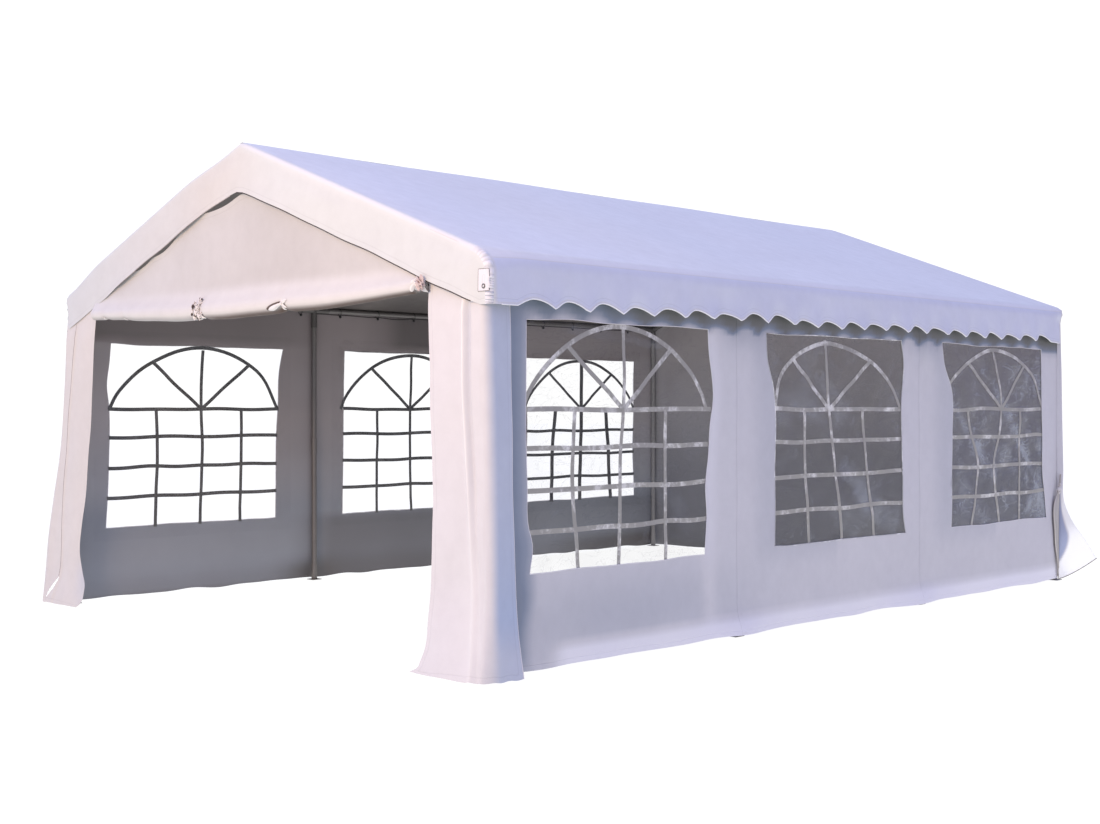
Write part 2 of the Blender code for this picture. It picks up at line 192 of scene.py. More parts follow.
bpy.ops.mesh.primitive_plane_add(size=floor_size)
floor = bpy.context.object
floor.name = "studio_floor"
floor_finish, tree, shader = new_finish("studio_floor")
feed(tree, shader, {
    "Base Color": mix(tree, noise(tree, place_in(tree), 0.8), (0.95 * floor_grey,) * 3, (floor_grey,) * 3),
    "Roughness": 0.9, "Specular IOR Level": 0.1, "Emission Color": (1.0, 1.0, 1.0, 1.0),
    "Emission Strength": floor_glow})
floor.data.materials.append(floor_finish)


# Steel frame: round tubes pushed into welded corner sockets, both with a dull galvanised coat.
# The tubes and sockets are the frame's own parts, and only their finish is set here.
tube_colours = ((0.17, 0.16, 0.155), (0.25, 0.235, 0.23))
socket_colours = ((0.11, 0.105, 0.10), (0.18, 0.17, 0.165))


def steel_finish(name, colours, roughness, metal=0.55):
    """Return a galvanised finish with a fine spangle and dull streaks."""
    finish, tree, shader = new_finish(name)
    place = place_in(tree)
    spangle = add_node(tree, "ShaderNodeTexVoronoi", {"Vector": place, "Scale": 120.0}).outputs["Distance"]
    streak = noise(tree, place, 7.0, Detail=6.0)
    feed(tree, shader, {
        "Base Color": mix(tree, calc(tree, "MULTIPLY", spangle, streak), *colours),
        "Roughness": remap(tree, streak, to=(roughness - 0.1, roughness + 0.12)), "Metallic": metal,
        "Normal": bump(tree, streak, 0.15, 0.001)})
    return finish


tube_steel = steel_finish("galvanised_tube", tube_colours, 0.42)
socket_steel = steel_finish("galvanised_socket", socket_colours, 0.5)
# The two rear posts get a paler, less metallic copy of the steel, as painted light in their shaded corners
rear_lit_steel = steel_finish("paler_lit_tube", ((0.27, 0.26, 0.26), (0.34, 0.33, 0.33)), 0.6, 0.15)
for node_name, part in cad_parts.items():
    if "connector" in node_name:
        part.data.materials.clear()
        part.data.materials.append(socket_steel)
    elif "post" in node_name or "tube" in node_name or "rafter" in node_name:
        part.data.materials.clear()
        part.data.materials.append(rear_lit_steel if node_name.endswith("post_4") else tube_steel)


# Roof cover: one sheet of white tarpaulin over the whole frame, with a scalloped valance down each side
# and a straight band round each gable. It lies on the rafters and sags a little between them.
cover_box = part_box("roof_cover")


def middle_of(part_name, axis):
    """Return the middle of one of the frame's parts along an axis."""
    low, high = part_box(part_name)
    return (low[axis] + high[axis]) / 2


ridge_height = middle_of("ridge_tube_1", 2)
eave_height = middle_of("right_eave_tube_1", 2)
half_span = middle_of("right_eave_tube_1", 0)
slope = (ridge_height - eave_height) / half_span
pitch = math.atan(slope)
apex = cover_box[1].z
half_width = cover_box[1].x
cover_end = cover_box[1].y
frame_places = [middle_of(f"right_post_{number}", 1) for number in range(1, 5)]
bay = frame_places[1] - frame_places[0]
middle_posts = frame_places[1:3]
sides = (("left", -1.0), ("right", 1.0))
tent_ends = (("front", -1.0), ("rear", 1.0))

cloth_thickness = 0.0012
stitch_margin = 0.028  # from a hem's edge to its line of stitches
ridge_round = 0.008
eave_bend = 0.10
corner_bend = 0.15  # the eave bend opens up to this radius at the right of the front gable
rake_swell = 0.036  # how far the cover puffs up along the left half of the front gable
gable_bend = 0.032  # radius of the fold between the roof and a gable band
valance_tuck = 0.038  # how far a valance's corner is drawn in, except at the right of the front gable
gable_band = 0.265
left_band_lift = 0.02  # the band is a little narrower on the left
valance_low = 1.784
scallop_pitch = 0.249
scallop_count = 22
scallop_rise = 0.046
scallop_start = -2.781
scallop_flare = 0.011
roof_sag = 0.022
band_stand_off = 0.014
fan_start = 1.6  # where the columns of a gable band begin to close up towards the corner
fan_end = 2.03
cloth_white = (0.68, 0.67, 0.70)
front_lit_white = (0.69, 0.665, 0.655)  # painted warm light: a creamier copy of the white for the front, where the warm lamp falls
# Painted shade on the walls' inner faces, from the ground up: share of 2 m, and colour. The cloth is white on
# both faces, and the grey stands for shade.
lining_shade_tones = (
    (0.0, (0.20, 0.20, 0.22)), (0.02, (0.265, 0.28, 0.33)), (0.07, (0.29, 0.31, 0.365)),
    (0.15, (0.295, 0.312, 0.36)), (0.28, (0.27, 0.287, 0.335)), (0.62, (0.36, 0.325, 0.338)),
    (0.95, (0.303, 0.262, 0.266)))
# Painted shade on the rear wall's inner face, darker towards the ground: share of 2 m, and colour
rear_lining_shade_tones = (
    (0.0, (0.10, 0.10, 0.105)), (0.05, (0.12, 0.12, 0.135)), (0.22, (0.19, 0.188, 0.20)),
    (0.45, (0.235, 0.228, 0.235)), (0.62, (0.30, 0.285, 0.29)), (0.95, (0.36, 0.33, 0.34)))
lining_shade = (0.10, 0.09, 0.09)
# Painted shade: the roof's inner face is grey for the shade inside the tent
roof_lining_shade_grey = (0.18, 0.160, 0.152)
shade_tint = (0.46, 0.55, 0.66)  # painted shade: the blue-grey of the tarpaulin where shade falls
deep_shade_tint = (0.29, 0.30, 0.285)  # painted shade: its brown-grey where the shade is deepest
highlight_white = (0.82, 0.81, 0.86)  # painted highlight: the brighter white of the tarpaulin on its folds and lips

bend_centre_x = half_width - eave_bend
bend_centre_z = apex - slope * bend_centre_x - eave_bend / math.cos(pitch)
bend_turn = math.pi / 2 - pitch
slope_length = (bend_centre_x + eave_bend * math.sin(pitch)) / math.cos(pitch)
bend_length = eave_bend * bend_turn
valance_drop = bend_centre_z - valance_low
section_length = slope_length + bend_length + valance_drop
roof_end = cover_end - gable_bend
fold_length = gable_bend * math.pi / 2
band_edge_apex = apex - gable_band


def wander(at, length, seed):
    """Return a smooth random wave of about -1 to 1 along one direction."""
    draw = np.random.default_rng(seed)
    total = 0.0
    for _ in range(5):
        wavelength = length * draw.uniform(0.6, 1.9)
        total = total + draw.uniform(0.5, 1.0) * np.sin(2 * np.pi * (at / wavelength + draw.uniform()))
    return total / 2.4


def billow(across, along, length, seed):
    """Return a smooth random swell of about -1 to 1 over a surface."""
    draw = np.random.default_rng(seed)
    total = 0.0
    for _ in range(8):
        turn = draw.uniform(0.0, 2 * np.pi)
        wavelength = length * draw.uniform(0.6, 1.8)
        way = across * math.cos(turn) + along * math.sin(turn)
        total = total + np.sin(2 * np.pi * (way / wavelength + draw.uniform()))
    return total / 3.6


def ease(share):
    """Return a share of 0 to 1 with a soft start and end."""
    share = np.clip(share, 0.0, 1.0)
    return share * share * (3.0 - 2.0 * share)


def hump(value, at, half):
    """Return a soft hump: 1 at its middle, and 0.37 at half its width away."""
    return np.exp(-((value - at) / half) ** 2)


def through(points, at):
    """Return a smooth curve's value through a few points, given as pairs in rising order."""
    xs = np.array([point[0] for point in points])
    ys = np.array([point[1] for point in points])
    slopes = np.gradient(ys, xs)
    part = np.clip(np.searchsorted(xs, at, side="right") - 1, 0, len(xs) - 2)
    step = xs[part + 1] - xs[part]
    share = np.clip((at - xs[part]) / step, 0.0, 1.0)
    start = (1 + 2 * share) * (1 - share) ** 2 * ys[part] + share * (1 - share) ** 2 * step * slopes[part]
    end = share ** 2 * (3 - 2 * share) * ys[part + 1] + share ** 2 * (share - 1) * step * slopes[part + 1]
    return start + end


def cloth_finish(name, colour, roughness=0.46, weave=0.0016, crease=1.0, dull=shade_tint, highlight_colour=highlight_white):
    """Return a coated woven tarpaulin: mottled, softly creased, with a line of stitches along each hem.

    Where the sheet's painted shading is above 0 it is darkened with painted shade, above 1 with a browner
    painted shade, and below 0 it is brightened with a painted highlight.
    """
    finish, tree, shader = new_finish(name)
    place = add_node(tree, "ShaderNodeTexCoord", {})
    broad = noise(tree, place.outputs["Object"], 1.3, Detail=3.0, Roughness=0.55)
    fine = noise(tree, place.outputs["Object"], 11.0, Detail=7.0, Roughness=0.62)
    off_stitches = calc(tree, "ABSOLUTE", calc(tree, "SUBTRACT", attribute(tree, "hem"), stitch_margin))
    stitch = remap(tree, off_stitches, (0.0008, 0.0028), (1.0, 0.0))
    tone = mix(tree, broad, [0.93 * part for part in colour], [min(1.0, 1.04 * part) for part in colour])
    soiled = mix(tree, 1.0, tone, remap(tree, fine, (0.35, 0.7), (1.0, 0.955)), "MULTIPLY")
    stitched = mix(tree, calc(tree, "MULTIPLY", stitch, 0.12), soiled, (0.2, 0.19, 0.2))
    painted_shading = attribute(tree, "painted_shading")
    dulled = mix(tree, painted_shading, (1.0, 1.0, 1.0), dull)
    browned = mix(tree, calc(tree, "SUBTRACT", painted_shading, 1.0), dulled, deep_shade_tint)
    darkened = mix(tree, 1.0, stitched, browned, "MULTIPLY")
    finished = mix(tree, calc(tree, "MULTIPLY", painted_shading, -1.0), darkened, highlight_colour)
    gloss = remap(tree, fine, to=(roughness - 0.08, roughness + 0.14))
    thread_scale = math.pi / (10 * weave)
    threads = [
        add_node(tree, "ShaderNodeTexWave", {
            "Vector": place.outputs["UV"], "Scale": thread_scale}, bands_direction=way).outputs["Fac"]
        for way in ("X", "Y")]
    woven = bump(tree, calc(tree, "ADD", *threads), 0.25, 0.0002)
    creased = bump(tree, fine, 0.5, 0.004 * crease, under=woven)
    feed(tree, shader, {
        "Base Color": finished, "Roughness": gloss, "Specular IOR Level": 0.35,
        "Normal": bump(tree, stitch, 0.6, 0.001, under=creased, invert=True)})
    return finish


def lining_finish(name, tones=lining_shade_tones, shaded=False):
    """Return a wall's inner face, grey as painted shade and toned from the ground up with painted shade. Its
    painted shading brightens it below 0 as painted light, and where shaded is set it darkens it above 0 as
    painted shade."""
    finish, tree, shader = new_finish(name)
    place = place_in(tree)
    height = add_node(tree, "ShaderNodeSeparateXYZ", {"Vector": place}).outputs["Z"]
    tone = add_node(tree, "ShaderNodeValToRGB", {"Fac": calc(tree, "MULTIPLY", height, 0.5)})
    stops = tone.color_ramp.elements
    while len(stops) < len(tones):
        stops.new(0.5)
    for stop, (share, colour) in zip(stops, tones):
        stop.position = share
        stop.color = (*colour, 1.0)
    cloud = noise(tree, place, 2.2, Detail=5.0, Roughness=0.6)
    mottled = mix(tree, 1.0, tone.outputs["Color"], remap(tree, cloud, to=(0.9, 1.08)), "MULTIPLY")
    painted_shading = attribute(tree, "painted_shading")
    lit = mix(tree, calc(tree, "MULTIPLY", painted_shading, -1.0), mottled, highlight_white)
    if shaded:
        lit = mix(tree, painted_shading, lit, lining_shade)
    feed(tree, shader, {"Base Color": lit, "Roughness": 0.6, "Normal": bump(tree, cloud, 0.5, 0.006)})
    return finish


def dress(piece, replaced=()):
    """Attach a piece to the root, and hide the frame's parts that it stands for."""
    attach(piece, "root")
    if replaced:
        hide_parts(*replaced)


def end_piece(name, finish, smooth_angle):
    """Name the piece made last, smooth its edges below an angle, give it its finish and attach it to the
    root.
    """
    piece = bpy.context.object
    piece.name = name
    piece.data.materials.append(finish)
    bpy.ops.object.shade_smooth_by_angle(angle=math.radians(smooth_angle))
    dress(piece)
    return piece


def join(pieces):
    """Join some pieces into the first of them."""
    bpy.ops.object.select_all(action="DESELECT")
    for piece in pieces:
        piece.select_set(True)
    bpy.context.view_layer.objects.active = pieces[0]
    bpy.ops.object.join()


def graded(ends, counts):
    """Return places that run through the ends, with a count of even ones in each stretch between two ends."""
    stretches = [np.linspace(low, high, count)[1:] for low, high, count in zip(ends[:-1], ends[1:], counts)]
    return np.concatenate([ends[:1], *stretches])


def spread_between(breaks, step):
    """Return places about one step apart that include every break."""
    counts = [max(2, round((high - low) / step) + 1) for low, high in zip(breaks[:-1], breaks[1:])]
    return graded(breaks, counts)


def line_on(place, first, second, **settings):
    """Return the points of a line on a sheet, where one of the two values of its places may be fixed."""
    return np.stack(place(*np.broadcast_arrays(first, second), **settings), axis=-1)


def lay_sheet(
        name, stations, courses, place, faces, finishes, replaced=(), slot_name="white_tarpaulin",
        thickness=cloth_thickness, cut=None, painted_shading=None):
    """Lay a sheet as a grid, with the place of each crossing worked out, and give it its thickness.

    faces is the direction in which its outer face looks, finishes are those of its outer and its inner face,
    replaced are the frame's parts that it stands for, cut says where faces are cut away, and painted_shading
    how much painted shade (above 0) or painted highlight (below 0) each place has. A sheet without a slot is
    joined to others later.
    """
    bpy.ops.mesh.primitive_grid_add(
        x_subdivisions=len(stations) - 1, y_subdivisions=len(courses) - 1, size=2)
    sheet = bpy.context.object
    sheet.name = name
    mesh = sheet.data
    mesh.name = name
    for finish in finishes:
        mesh.materials.append(finish)
    flat = np.empty(len(mesh.vertices) * 3)
    mesh.vertices.foreach_get("co", flat)
    flat = flat.reshape(-1, 3)
    column = np.rint((flat[:, 0] + 1) / 2 * (len(stations) - 1)).astype(int)
    row = np.rint((flat[:, 1] + 1) / 2 * (len(courses) - 1)).astype(int)
    across, along = np.meshgrid(stations, courses)
    points = np.stack(np.broadcast_arrays(*place(across, along)), axis=-1)
    mesh.vertices.foreach_set("co", points[row, column].ravel())
    mesh.update()
    run_across = np.pad(np.cumsum(np.linalg.norm(np.diff(points, axis=1), axis=2), axis=1), ((0, 0), (1, 0)))
    run_along = np.pad(np.cumsum(np.linalg.norm(np.diff(points, axis=0), axis=2), axis=0), ((1, 0), (0, 0)))
    to_hem = np.minimum.reduce([
        run_across, run_across[:, -1:] - run_across, run_along, run_along[-1:] - run_along])
    hem = mesh.attributes.new("hem", "FLOAT", "POINT")
    hem.data.foreach_set("value", to_hem[row, column].astype(np.float32))
    if painted_shading is not None:
        dull = np.broadcast_to(painted_shading(across, along), across.shape)
        mesh.attributes.new("painted_shading", "FLOAT", "POINT").data.foreach_set(
            "value", dull[row, column].astype(np.float32))
    corner_vertex = np.empty(len(mesh.loops), int)
    mesh.loops.foreach_get("vertex_index", corner_vertex)
    cloth_map = np.stack([run_across[row, column], run_along[row, column]], axis=-1)
    mesh.uv_layers[0].data.foreach_set("uv", cloth_map[corner_vertex].ravel())
    looks = sum((np.array(face.normal) for face in mesh.polygons), np.zeros(3))
    if looks @ np.array(faces) < 0:
        mesh.flip_normals()
    if cut is not None:
        bpy.ops.object.mode_set(mode="EDIT")
        bpy.ops.mesh.select_mode(type="FACE")
        bpy.ops.mesh.select_all(action="DESELECT")
        bpy.ops.object.mode_set(mode="OBJECT")
        for face in mesh.polygons:
            ring = np.array(face.vertices)
            face.select = bool(cut(stations[column[ring]].mean(), courses[row[ring]].mean()))
        bpy.ops.object.mode_set(mode="EDIT")
        bpy.ops.mesh.delete(type="FACE")
        bpy.ops.object.mode_set(mode="OBJECT")
    bpy.ops.object.modifier_add(type="SOLIDIFY")
    wall = sheet.modifiers[-1]
    wall.thickness = thickness
    wall.offset = -1.0
    wall.material_offset = len(finishes) - 1
    bpy.ops.object.modifier_apply(modifier=wall.name)
    bpy.ops.object.shade_smooth_by_angle(angle=math.radians(50))
    if slot_name:
        dress(sheet, replaced)
    return sheet


def lay_piping(name, points, radius, finish):
    """Run a thin round welt through the points and make it a mesh."""
    line = bpy.data.curves.new(name, "CURVE")
    line.dimensions = "3D"
    line.bevel_depth = radius
    line.bevel_resolution = 1
    line.use_fill_caps = True
    spline = line.splines.new("POLY")
    spline.points.add(len(points) - 1)
    spline.points.foreach_set("co", np.column_stack([points, np.ones(len(points))]).ravel())
    piping = bpy.data.objects.new(name, line)
    bpy.context.scene.collection.objects.link(piping)
    bpy.ops.object.select_all(action="DESELECT")
    piping.select_set(True)
    bpy.context.view_layer.objects.active = piping
    bpy.ops.object.convert(target="MESH")
    return end_piece(name, finish, 60)


def cover_section(at, inset, edge, bend):
    """Return x and z on the cover's section: at is the signed run from the ridge, inset the depth inside it,
    edge the height of the valance's edge and bend the radius of the eave bend."""
    run = np.abs(at)
    side = np.where(at < 0, -1.0, 1.0)
    centre_x = half_width - bend
    centre_z = apex - slope * centre_x - bend / math.cos(pitch)
    down = np.clip(run / slope_length, 0.0, 1.0)
    across = down * (centre_x + bend * math.sin(pitch)) - inset * math.sin(pitch) * down
    slope_z = apex - inset / math.cos(pitch) - slope * np.sqrt(across ** 2 + ridge_round ** 2)
    turn = bend_turn * (1 - np.clip((run - slope_length) / bend_length, 0.0, 1.0))
    bend_x = centre_x + (bend - inset) * np.cos(turn)
    hang = np.clip((run - slope_length - bend_length) / valance_drop, 0.0, 1.0)
    bend_z = centre_z + (bend - inset) * np.sin(turn) - hang * (centre_z - edge)
    on_slope = run < slope_length
    return side * np.where(on_slope, across, bend_x), np.where(on_slope, slope_z, bend_z)


def valance_edge(along):
    """Return the height of a valance's scalloped edge."""
    share = (along - scallop_start + 0.008 * wander(along, 0.7, 11)) / scallop_pitch
    scalloped = (share > 0) & (share < scallop_count)
    wave = np.sqrt(np.sin(np.pi * share) ** 2 + 0.003) - math.sqrt(0.003)
    rise = scallop_rise * (1.0 + 0.22 * wander(along, 0.9, 12))
    return valance_low + 0.006 * wander(along, 1.1, 13) + np.where(scalloped, rise * wave, 0.0)


def band_edge(across):
    """Return the height of a gable band's lower edge."""
    left_lift = left_band_lift * ease(-across / 0.4)
    wave = 0.004 * wander(across, 0.5, 21) * ease((2.0 - np.abs(across)) / 0.3)
    return band_edge_apex - slope * np.sqrt(across ** 2 + 0.06 ** 2) + left_lift + wave


def cover_place(at, along):
    """Return the place of a point of the roof cover, by its run from the ridge and from the middle."""
    run = np.abs(at)
    side = np.where(at < 0, -1.0, 1.0)
    end = np.where(along < 0, -1.0, 1.0)
    reach = np.abs(along)
    fold = np.clip((reach - roof_end) / gable_bend, 0.0, math.pi / 2)
    level = end * (np.minimum(reach, roof_end) + gable_bend * np.sin(fold))
    inset = gable_bend * (1 - np.cos(fold))
    at_eave = ease((run - slope_length + 0.12) / 0.1)
    crinkle = 0.0035 * np.sin(2 * np.pi * run / 0.048 + 3.0 * wander(run, 0.2, 31))
    inset = inset + crinkle * np.sin(2 * fold) * at_eave
    hang = np.clip((run - slope_length - bend_length) / valance_drop, 0.0, 1.0)
    near_corner = ease((reach - 2.72) / 0.24)
    open_corner = (at > 0) & (along < 0)
    bend = eave_bend + (corner_bend - eave_bend) * near_corner * open_corner
    across, height = cover_section(at, inset, valance_edge(level), bend)
    between = np.sin(np.pi * (level - frame_places[0]) / bay) ** 2 * (reach < roof_end)
    down = np.clip(run / slope_length, 0.0, 1.0)
    sag = roof_sag * between * np.sin(np.pi * down) ** 0.8
    ridge_sag = 0.004 * between * ease(1 - down / 0.12)
    swell = 0.003 * billow(across, level, 0.9, 32) * between * np.sin(np.pi * down)
    height = height - sag - ridge_sag + swell
    tip_wave = np.cos(2 * np.pi * (level - scallop_start) / scallop_pitch)
    scalloped = ease((2.75 - np.abs(level)) / 0.12)
    flutter = scallop_flare * tip_wave * scalloped * hang ** 2
    flutter = flutter + hang * (0.006 + 0.006 * wander(level, 0.45, 33) * scalloped)
    across = across + side * flutter * (fold <= 0)
    bow = 0.004 * wander(level, 0.8, 34) * scalloped * np.sin(np.pi * np.clip(hang, 0.0, 1.0))
    across = across + side * bow * (fold <= 0)
    down_bend = ease((run - slope_length - 0.3 * bend_length) / bend_length)
    across = across - side * valance_tuck * near_corner * np.where(
        open_corner, -0.35 * ease((run - slope_length) / bend_length), down_bend)
    puff = ease((-along - 2.55) / 0.35) * ease((-across - 0.1) / 0.5) * ease((across + 2.0) / 0.4)
    height = height + rake_swell * puff
    down_band = np.clip((reach - roof_end - fold_length) / gable_band, 0.0, 1.0)
    fan = np.clip((run - fan_start / math.cos(pitch)) / (section_length - fan_start / math.cos(pitch)), 0, 1)
    fanned = fan_start + (fan_end - fan_start) * fan
    foot_x = np.where(run * math.cos(pitch) < fan_start, np.abs(across), fanned)
    foot_z = band_edge(side * foot_x)
    across = across + (side * foot_x - across) * down_band
    height = height + (foot_z - height) * down_band
    standing = 0.003 * down_band + band_stand_off * down_band ** 2 * (0.75 + 0.5 * wander(across, 0.7, 35))
    standing = standing + 0.005 * ease(down_band / 0.4) * (1 + billow(across, height, 0.7, 36))
    standing = standing * ease((2.06 - np.abs(across)) / 0.12) * (1 - 0.75 * ease((-across - 1.25) / 0.3))
    level = level + end * standing
    return across, level, height


# Painted shade on the roof's lining just inside the left eave: place along the tent and share
over_eave_shade = (
    (-1.35, 0.0), (-1.2, 0.9), (-0.93, 0.95), (-0.73, 0.62), (-0.5, 0.25), (-0.42, 0.42), (-0.235, 0.70),
    (0.2, 0.70), (0.7, 0.25), (1.0, 0.0))


def cover_painted_shading(at, along):
    """Return the cover's painted shading.

    It has painted highlights along its folds, its eave bends and its lips. It has painted shade on the
    valances, on the right slope towards the front, a warm painted shade on the left half of the front band,
    and painted shade inside over the left eave.
    """
    reach = np.abs(along)
    fold = np.exp(-((reach - roof_end - 0.5 * fold_length) / 0.02) ** 2)
    down = np.abs(at) - slope_length
    light_and_shade = 0.42 * ease((down / bend_length - 0.05) / 0.35)
    front = 0.25 * ease((-along - 1.2) / 1.4) * (at > 0)
    side = np.where(down < 0.5 * bend_length, front * (down < 0) - light_and_shade, 1.0)
    lip = ease((down - bend_length - valance_drop + 0.016) / 0.014)
    side = side - (side + 0.85) * lip
    over_eave = np.interp(along, *zip(*over_eave_shade)) * ease(1.3 + (down / 0.55))
    side = np.where((at < 0) & (down < -0.02), over_eave, side)
    band = ease((0.5 - at) / 0.9) * (1 - 0.3 * ease((-at - 0.3) / 0.5) - 0.35 * ease((-at - 1.2) / 0.6))
    return np.where(reach < roof_end, side, band) * (1 - fold) - (0.15 + 0.7 * ease((at + 0.15) / 0.3)) * fold


station_side = graded(
    (0.0, fan_start / math.cos(pitch), slope_length, slope_length + bend_length, section_length),
    (26, 12, 15, 22))
cover_stations = np.concatenate([-station_side[:0:-1], station_side])
roof_rows = np.linspace(-roof_end, roof_end, 261)
fold_rows = roof_end + fold_length * np.linspace(0.0, 1.0, 7)[1:]
band_rows = roof_end + fold_length + gable_band * np.linspace(0.0, 1.0, 10)[1:]
cover_courses = np.concatenate([-band_rows[::-1], -fold_rows[::-1], roof_rows, fold_rows, band_rows])
# The roof's painted shade is a bluer cast on the valances, and its painted highlight is a cool white
cloth = cloth_finish("white_tarpaulin", cloth_white, dull=(0.985, 1.03, 1.16), highlight_colour=(0.82, 0.82, 0.90))
# The gable bands get their own copy of the cloth, with a warm tint of painted light
band_lit_cloth = cloth_finish(
    "band_tarpaulin", (0.66, 0.67, 0.665), dull=(0.97, 0.905, 0.865), highlight_colour=(0.80, 0.785, 0.785))
# The walls' inner faces: grey as painted shade
lining = lining_finish("grey_lining_painted_shade")
roof_lining = cloth_finish("roof_lining", roof_lining_shade_grey, roughness=0.6, dull=(0.35, 0.35, 0.37))
# Thin lines under the bands' lower edges stand for the shadow gap behind them: painted shadow. The pale one
# also marks the seam down the left strip.
pale_seam_and_shadow = cloth_finish("pale_seam_and_shadow_line", (0.36, 0.32, 0.31), roughness=0.6, crease=0.3)
dark_shadow_line = cloth_finish("dark_painted_shadow_line", (0.055, 0.04, 0.035), roughness=0.6, crease=0.3)
trim = cloth_finish("white_trim", tuple(1.12 * part for part in cloth_white), roughness=0.4, crease=0.3)
roof = lay_sheet(
    "roof_cover_sheet", cover_stations, cover_courses, cover_place, (0, 0, 1),
    [cloth, band_lit_cloth, roof_lining], ["roof_cover"], painted_shading=cover_painted_shading)
for face in roof.data.polygons:
    if face.material_index == 0 and abs(face.center.y) > roof_end:
        face.material_index = 1
# A bright welt along each valance's lip: painted highlight
highlight_rim = cloth_finish("painted_highlight_rim", (0.95, 0.95, 0.95), roughness=0.4, crease=0.3)
edge_rows = roof_rows[2:-2]
for side_name, side in sides:
    line = line_on(cover_place, side * section_length, edge_rows)
    lay_piping(f"{side_name}_valance_welt", line, 0.0036, highlight_rim)
for end_name, end in tent_ends:
    line = line_on(cover_place, cover_stations, end * band_rows[-1]) - np.array([0.0, end * 0.002, 0.002])
    for side_name, low, high, radius, finish in (
            ("left", -1.35, -0.05, 0.0018, pale_seam_and_shadow), ("right", -0.05, 1.98, 0.0034, dark_shadow_line)):
        stretch = line[(line[:, 0] >= low) & (line[:, 0] <= high)]
        lay_piping(f"{end_name}_{side_name}_band_edge_shadow_line", stretch, radius, finish)


# Front gable and door: one sheet of tarpaulin. The gable panel hangs behind the band, and the door below it
# is rolled up towards the inside, so that the panel runs on over the front of the roll.
roll_middle_y = middle_of("front_door_roll", 1)
end_face = cover_end - 0.0033  # the end walls' outer faces lie just inside the bands
door_left = -1.648
door_right = 1.662
roll_top = 1.925
roll_rise = 0.015
roll_radius = 0.0585
roll_end_radius = 0.037
roll_core = 0.009
roll_turns = 7.0
roll_leaves_at = math.radians(34)  # where the panel meets the roll, above its front
panel_hidden = 0.15  # how far the panel runs up behind the band
panel_droops = ((-0.15, 0.21, 0.030), (-0.80, 0.13, 0.015), (-1.03, 0.08, 0.008))  # place, half width, gap
roll_pinches = (  # where the ties draw the roll in: place, share and half width
    (-1.49, 0.10, 0.03), (-1.24, 0.06, 0.03), (-0.357, 0.16, 0.04), (0.47, 0.16, 0.035), (1.592, 0.48, 0.022))
# painted shade: the brown of the shade under the rolled door and in its turns
roll_shade_brown = (0.13, 0.085, 0.065)


def roll_shape(across):
    """Return the rolled door's radius and the height and place of its centre line."""
    share = np.clip(np.abs(across) / 1.6, 0.0, 1.0)
    pull = sum(amount * hump(across, at, half) for at, amount, half in roll_pinches)
    radius = roll_radius + (roll_end_radius - roll_radius) * share ** 2
    radius = radius * (1 - pull + 0.04 * wander(across, 0.45, 41))
    centre_z = roll_top + roll_rise * share ** 2 - radius + 0.004 * wander(across, 1.1, 42)
    return radius, centre_z, -roll_middle_y + 0.003 * wander(across, 0.9, 43)


def panel_top(across):
    """Return the height of the gable panel's top edge, which droops below the band in a few places."""
    edge = [gap * (((across - at) / half) ** 2 - 1) for at, half, gap in panel_droops]
    return band_edge(across) + np.minimum.reduce([*edge, np.full_like(across, panel_hidden)])


def door_place(across, course):
    """Return the place of a point of the gable panel (course 0 to 1), its bulge (to 2) or the roll."""
    radius, centre_z, centre_y = roll_shape(across)
    top = panel_top(across)
    low = centre_z + radius + 0.10
    flat = np.clip(course, 0.0, 1.0)
    panel_z = top + (low - top) * flat
    inside = ease((band_edge(across) + 0.08 - panel_z) / 0.2)
    swell = inside * (0.010 + 0.007 * billow(across, panel_z, 0.9, 44))
    lip = 0.006 * np.exp(-(top - panel_z) / 0.03)
    panel_y = end_face - swell * (1 - flat) + lip
    share = np.clip(course - 1, 0.0, 1.0)
    reach_y = centre_y + radius * math.cos(roll_leaves_at)
    reach_z = centre_z + radius * math.sin(roll_leaves_at)
    lead = 0.055
    weights = ((1 - share) ** 3, 3 * share * (1 - share) ** 2, 3 * share ** 2 * (1 - share), share ** 3)
    ys = (end_face, end_face, reach_y - lead * math.sin(roll_leaves_at), reach_y)
    zs = (low, low - lead, reach_z + lead * math.cos(roll_leaves_at), reach_z)
    bulge_y = sum(weight * y for weight, y in zip(weights, ys))
    bulge_z = sum(weight * z for weight, z in zip(weights, zs))
    turn = np.clip(course - 2, 0.0, None)
    angle = roll_leaves_at - 2 * np.pi * turn
    left = radius - (radius - roll_core) * turn / roll_turns
    near_tie = sum(amount * hump(across, at, 0.08) for at, amount, _ in roll_pinches)
    pucker = np.sin(7 * angle + 40 * np.abs(across)) * np.exp(-turn) * ease(turn / 0.05)
    left = left * (1 + 0.25 * near_tie * pucker)
    roll_y = centre_y + left * np.cos(angle)
    roll_z = centre_z + left * np.sin(angle)
    y = np.where(course <= 1, panel_y, np.where(course <= 2, bulge_y, roll_y))
    z = np.where(course <= 1, panel_z, np.where(course <= 2, bulge_z, roll_z))
    hollow = 0.006 * ease((across - 1.60) / 0.045) * ease((turn - 0.5) / 0.6)
    return across - hollow, -y, z


